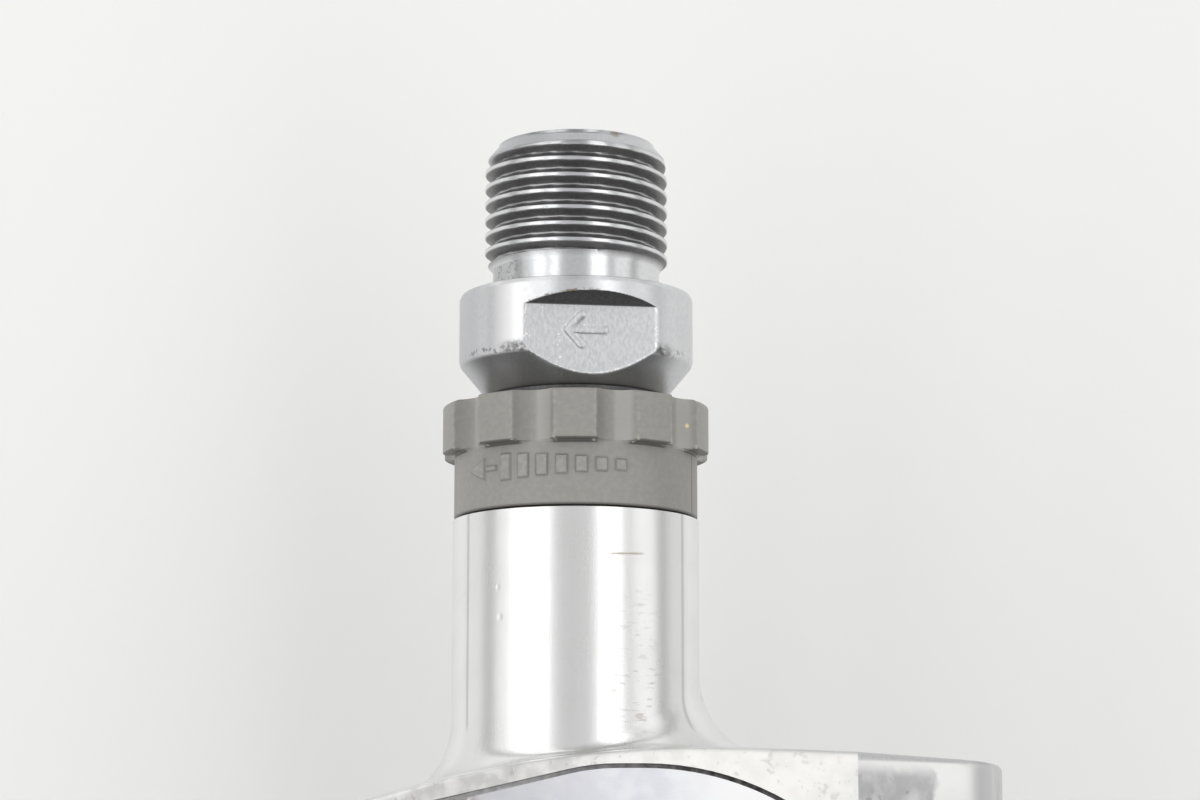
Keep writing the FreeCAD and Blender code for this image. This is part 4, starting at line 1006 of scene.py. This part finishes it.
collar_end = COLLAR_START + COLLAR_LENGTH
sleeve_end = collar_end + SLEEVE_LENGTH
collar_corners = [(COLLAR_START, COLLAR_RADIUS - COLLAR_FACE_WIDTH)]
collar_corners += eased_edge(COLLAR_START, COLLAR_RADIUS, *COLLAR_EASE)
collar_corners += [
    (collar_end - COLLAR_CHAMFER, COLLAR_RADIUS),
    (collar_end, COLLAR_RADIUS - COLLAR_CHAMFER),
    (collar_end, SLEEVE_RADIUS + SLEEVE_FILLET),
    (collar_end + SLEEVE_FILLET, SLEEVE_RADIUS),
]
sleeve_ends = [(collar_end + 0.12, SLEEVE_RADIUS), (sleeve_end - SLEEVE_CHAMFER, SLEEVE_RADIUS)]
inside = [
    (sleeve_end, SLEEVE_RADIUS - SLEEVE_CHAMFER),
    (sleeve_end, SHANK_RADIUS),
    (SHANK_END, SHANK_RADIUS),
    (SHANK_END, BOLT_BORE_RADIUS),
    (SEAL_POCKET_END, BOLT_BORE_RADIUS),
    (SEAL_POCKET_END, SEAL_POCKET_RADIUS),
    (SEAL_POCKET_START, SEAL_POCKET_RADIUS),
    (SEAL_POCKET_START, BOLT_BORE_RADIUS),
    (COLLAR_START, BOLT_BORE_RADIUS),
]
collar = run(collar_corners, COLLAR_SPACING)
sleeve = run(sleeve_ends, SLEEVE_SPACING)
outline = np.vstack([collar, sleeve, inside])
station = outline[:, :1]
turned_radius = outline[:, 1:]
row = np.arange(len(outline))[:, None]
on_collar = row < len(collar)
on_sleeve = (row >= len(collar)) & (row < len(collar) + len(sleeve))
angle = round_angles(half_seen=75, seen_step=0.45, far_step=1.5)
print("lock bolt grid", len(outline), "by", angle.size)

# %% [markdown]
# Each groove between two splines is a scoop with a round bottom. Seen along the axle it is a circle
# whose middle lies outside the collar, so the radius in a groove is where a ray from the axis first
# meets that circle. The same sums give the angle of the groove's edge, and how far every point lies
# from that edge says where the painted shade, the painted highlights and the rubbed corners are.

# %% Splines
groove_centre = COLLAR_RADIUS - GROOVE_DEPTH + GROOVE_RADIUS
spline_step = 2 * math.pi / SPLINES
from_groove = (angle % spline_step) - spline_step / 2
reach = np.maximum(GROOVE_RADIUS**2 - (groove_centre * np.sin(from_groove)) ** 2, 0)
scoop = np.where(reach > 0, groove_centre * np.cos(from_groove) - np.sqrt(reach), CLEAR_RADIUS)
scooped = np.minimum(turned_radius, softer_of(turned_radius, scoop, GROOVE_SOFTNESS))
scooped = np.maximum(scooped, np.minimum(turned_radius, SLEEVE_RADIUS))
radius = np.where(on_collar, scooped, turned_radius)

edge_cosine = (groove_centre**2 + COLLAR_RADIUS**2 - GROOVE_RADIUS**2) / (2 * groove_centre * COLLAR_RADIUS)
groove_half_angle = math.acos(edge_cosine)
past_edge = (np.abs(from_groove) - groove_half_angle) * COLLAR_RADIUS
# Painted shade in the corners of each groove, heavier in its front half.
groove_corner = smooth_step(past_edge, -1.7, -0.1) * smooth_step(past_edge, 0.06, -0.02) * on_collar
shaded_side = np.where(from_groove < 0, 0.27, 0.08)
# A painted highlight in the rear half of each groove.
lit_side = bump_between(from_groove * COLLAR_RADIUS, 0.3, 1.1, 0.5) * on_collar
# Pale spline edges: partly wear, partly a painted highlight.
tooth_edge = bump_between(past_edge, 0.02, 0.14, 0.12) * on_collar
# Painted shadow under the splines' lower ends.
under_collar = bump_between(station, collar_end - 0.05, collar_end + 0.18, 0.05)
under_tooth = under_collar * smooth_step(past_edge, -0.5, 0.0)
lower_corner = tooth_edge * smooth_step(station, collar_end - 0.5, collar_end - 0.1)
print("spline edge at", round(math.degrees(groove_half_angle), 1), "degrees from each groove's middle")

# %% [markdown]
# The marks on the sleeve are drawn on the unrolled cylinder. Each is a distance: below zero inside
# the mark, above zero outside. The smallest of all the distances makes the whole drawing, and a small
# step in radius raises it.

# %% Marks on the sleeve
MARK_HEIGHT = 0.2
MARK_STATION = 14.55
BAR_COUNT = 7
BAR_FIRST_ARC = -5.5
BAR_PITCH = 1.5
BAR_HALF_WIDTH = 0.42
BAR_TALLEST = 0.98
BAR_SHORTEST = 0.4
DASH_ARC = -6.9
DASH_HALF_WIDTH = 0.5
DASH_HALF_HEIGHT = 0.16
ARROW_POINT_ARC = -9.4
ARROW_BACK_ARC = -7.6
ARROW_HALF_HEIGHT = 0.8
PARTING_ANGLE = math.radians(71)
PARTING_DEPTH = 0.06
arc = SLEEVE_RADIUS * angle
from_mark_line = np.abs(station - MARK_STATION)


def box_mark(arc_centre, half_width, half_height):
    """Distance outside a rectangle on the unrolled sleeve, negative inside it."""
    return np.maximum(np.abs(arc - arc_centre) - half_width, from_mark_line - half_height)


bar_marks = []
for i in range(BAR_COUNT):
    growth = 1 - i / (BAR_COUNT - 1)
    height = BAR_SHORTEST + (BAR_TALLEST - BAR_SHORTEST) * growth
    bar_marks.append(box_mark(BAR_FIRST_ARC + i * BAR_PITCH, BAR_HALF_WIDTH, height))
along_arrow = (arc - ARROW_POINT_ARC) / (ARROW_BACK_ARC - ARROW_POINT_ARC)
arrow_head = np.maximum(from_mark_line - ARROW_HALF_HEIGHT * along_arrow, arc - ARROW_BACK_ARC)
arrow_dash = box_mark(DASH_ARC, DASH_HALF_WIDTH, DASH_HALF_HEIGHT)
outside = np.min(bar_marks + [arrow_head, arrow_dash], axis=0)
raised = MARK_HEIGHT * smooth_step(outside, 0.06, -0.05)
parting = smooth_step(np.abs(arc - SLEEVE_RADIUS * PARTING_ANGLE), 0.12, 0.03)
radius = radius + np.where(on_sleeve, raised - PARTING_DEPTH * parting, 0)
print("marks on the sleeve:", len(bar_marks) + 2)

# %% Lock bolt masks
# Painted shade round the raised marks, and a painted highlight on their tops.
around_marks = bump_between(outside, 0.0, 0.05, 0.09) * on_sleeve
mark_tops = smooth_step(outside, 0.0, -0.06) * on_sleeve
# Painted shade along the sleeve's foot, where it meets the body.
sleeve_foot = bump_between(station, sleeve_end - 0.04, sleeve_end + 0.1, 0.05)
# The sleeve is darker towards the rear.
rear_darkening = smooth_step(arc, 5.0, 8.0) * on_sleeve
# This mask holds painted shade and the dark parting seam.
shade_and_seam_mask = np.maximum.reduce(
    [
        groove_corner * shaded_side,
        under_tooth * 0.8,
        around_marks * 0.22,
        parting * on_sleeve * 0.5,
        rear_darkening * 0.14,
        sleeve_foot * 0.7 + 0 * angle,
    ]
)
# This mask holds wear and a painted highlight on the spline edges, and a painted highlight on the marks'
# tops.
rubbed_and_highlight_mask = np.maximum.reduce([tooth_edge * 0.20, lower_corner, mark_tops * 0.18])
masks = {"shade_and_seam": shade_and_seam_mask, "rubbed_and_highlight": rubbed_and_highlight_mask, "painted_groove_light": lit_side}
bolt_points = round_the_axle(station, radius, angle)
bolt_piece = surface("lock_bolt_moulding", bolt_points, grey_moulding, wrap_rows=True, masks=masks)
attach(bolt_piece, "pedal")
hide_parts("lock_bolt")

# %% [markdown]
# ## Round-wire springs
#
# The two torsion springs sit on the binding's pin. Their path is a straight leg, a coil and another
# straight leg. A tube follows the path: at every point two directions across the wire are found from
# the path's direction, and a circle is drawn with them. On the real pedal, opening the binding winds
# the coil, so the upper leg goes with the binding and the lower leg stays with the body; here each
# spring is one fixed mesh.

# %% Springs
PIVOT_X = 25.5
PIVOT_HEIGHT = 1.5
WIRE_RADIUS = 0.9
COIL_RADIUS = 4.2
COIL_PITCH = 1.9
COIL_TURNS = 3.25
COIL_START = 2.0
LOWER_LEG = 11.0
UPPER_LEG = 9.3
COIL_POINTS = 150
LEG_POINTS = 12
WIRE_SIDES = 18


def spring_path(side):
    """Points from the end of the lower leg, round the coil, to the end of the upper leg."""
    wound = np.linspace(0, 2 * math.pi * COIL_TURNS, COIL_POINTS)
    out = CENTRE_Y + side * (COIL_START + COIL_PITCH * wound / (2 * math.pi))
    rearward = PIVOT_X + COIL_RADIUS * np.sin(wound)
    upward = PIVOT_HEIGHT - COIL_RADIUS * np.cos(wound)
    coil = np.stack([rearward, out, upward], axis=-1)
    away = np.linspace(1, 0, LEG_POINTS, endpoint=False)[:, None]
    lower = coil[0] + away * np.array([-LOWER_LEG, 0, 0])
    upper = coil[-1] + away[::-1] * np.array([0, 0, UPPER_LEG])
    return np.vstack([lower, coil, upper])


def tube(path, wire_radius):
    """Circles across a path: one direction is the pin's, made square to the path, one is square to both."""
    tangent = np.gradient(path, axis=0)
    tangent /= np.linalg.norm(tangent, axis=1)[:, None]
    pin = np.array([0.0, 1.0, 0.0])
    second = pin - tangent * (tangent @ pin)[:, None]
    second /= np.linalg.norm(second, axis=1)[:, None]
    first = np.cross(tangent, second)
    turn = np.linspace(0, 2 * math.pi, WIRE_SIDES, endpoint=False)[None, :, None]
    circle = np.cos(turn) * first[:, None] + np.sin(turn) * second[:, None]
    return path[:, None] + wire_radius * circle


for node, side in (("inner_spring", 1), ("outer_spring", -1)):
    wire = tube(spring_path(side), WIRE_RADIUS) * MM
    spring = surface(node + "_wire", wire, spring_steel)
    wire_box = np.array([wire.min(axis=(0, 1)), wire.max(axis=(0, 1))]) / MM
    print(node, "wire", np.round(wire_box, 2).tolist())
    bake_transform(spring)
    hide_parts(node)
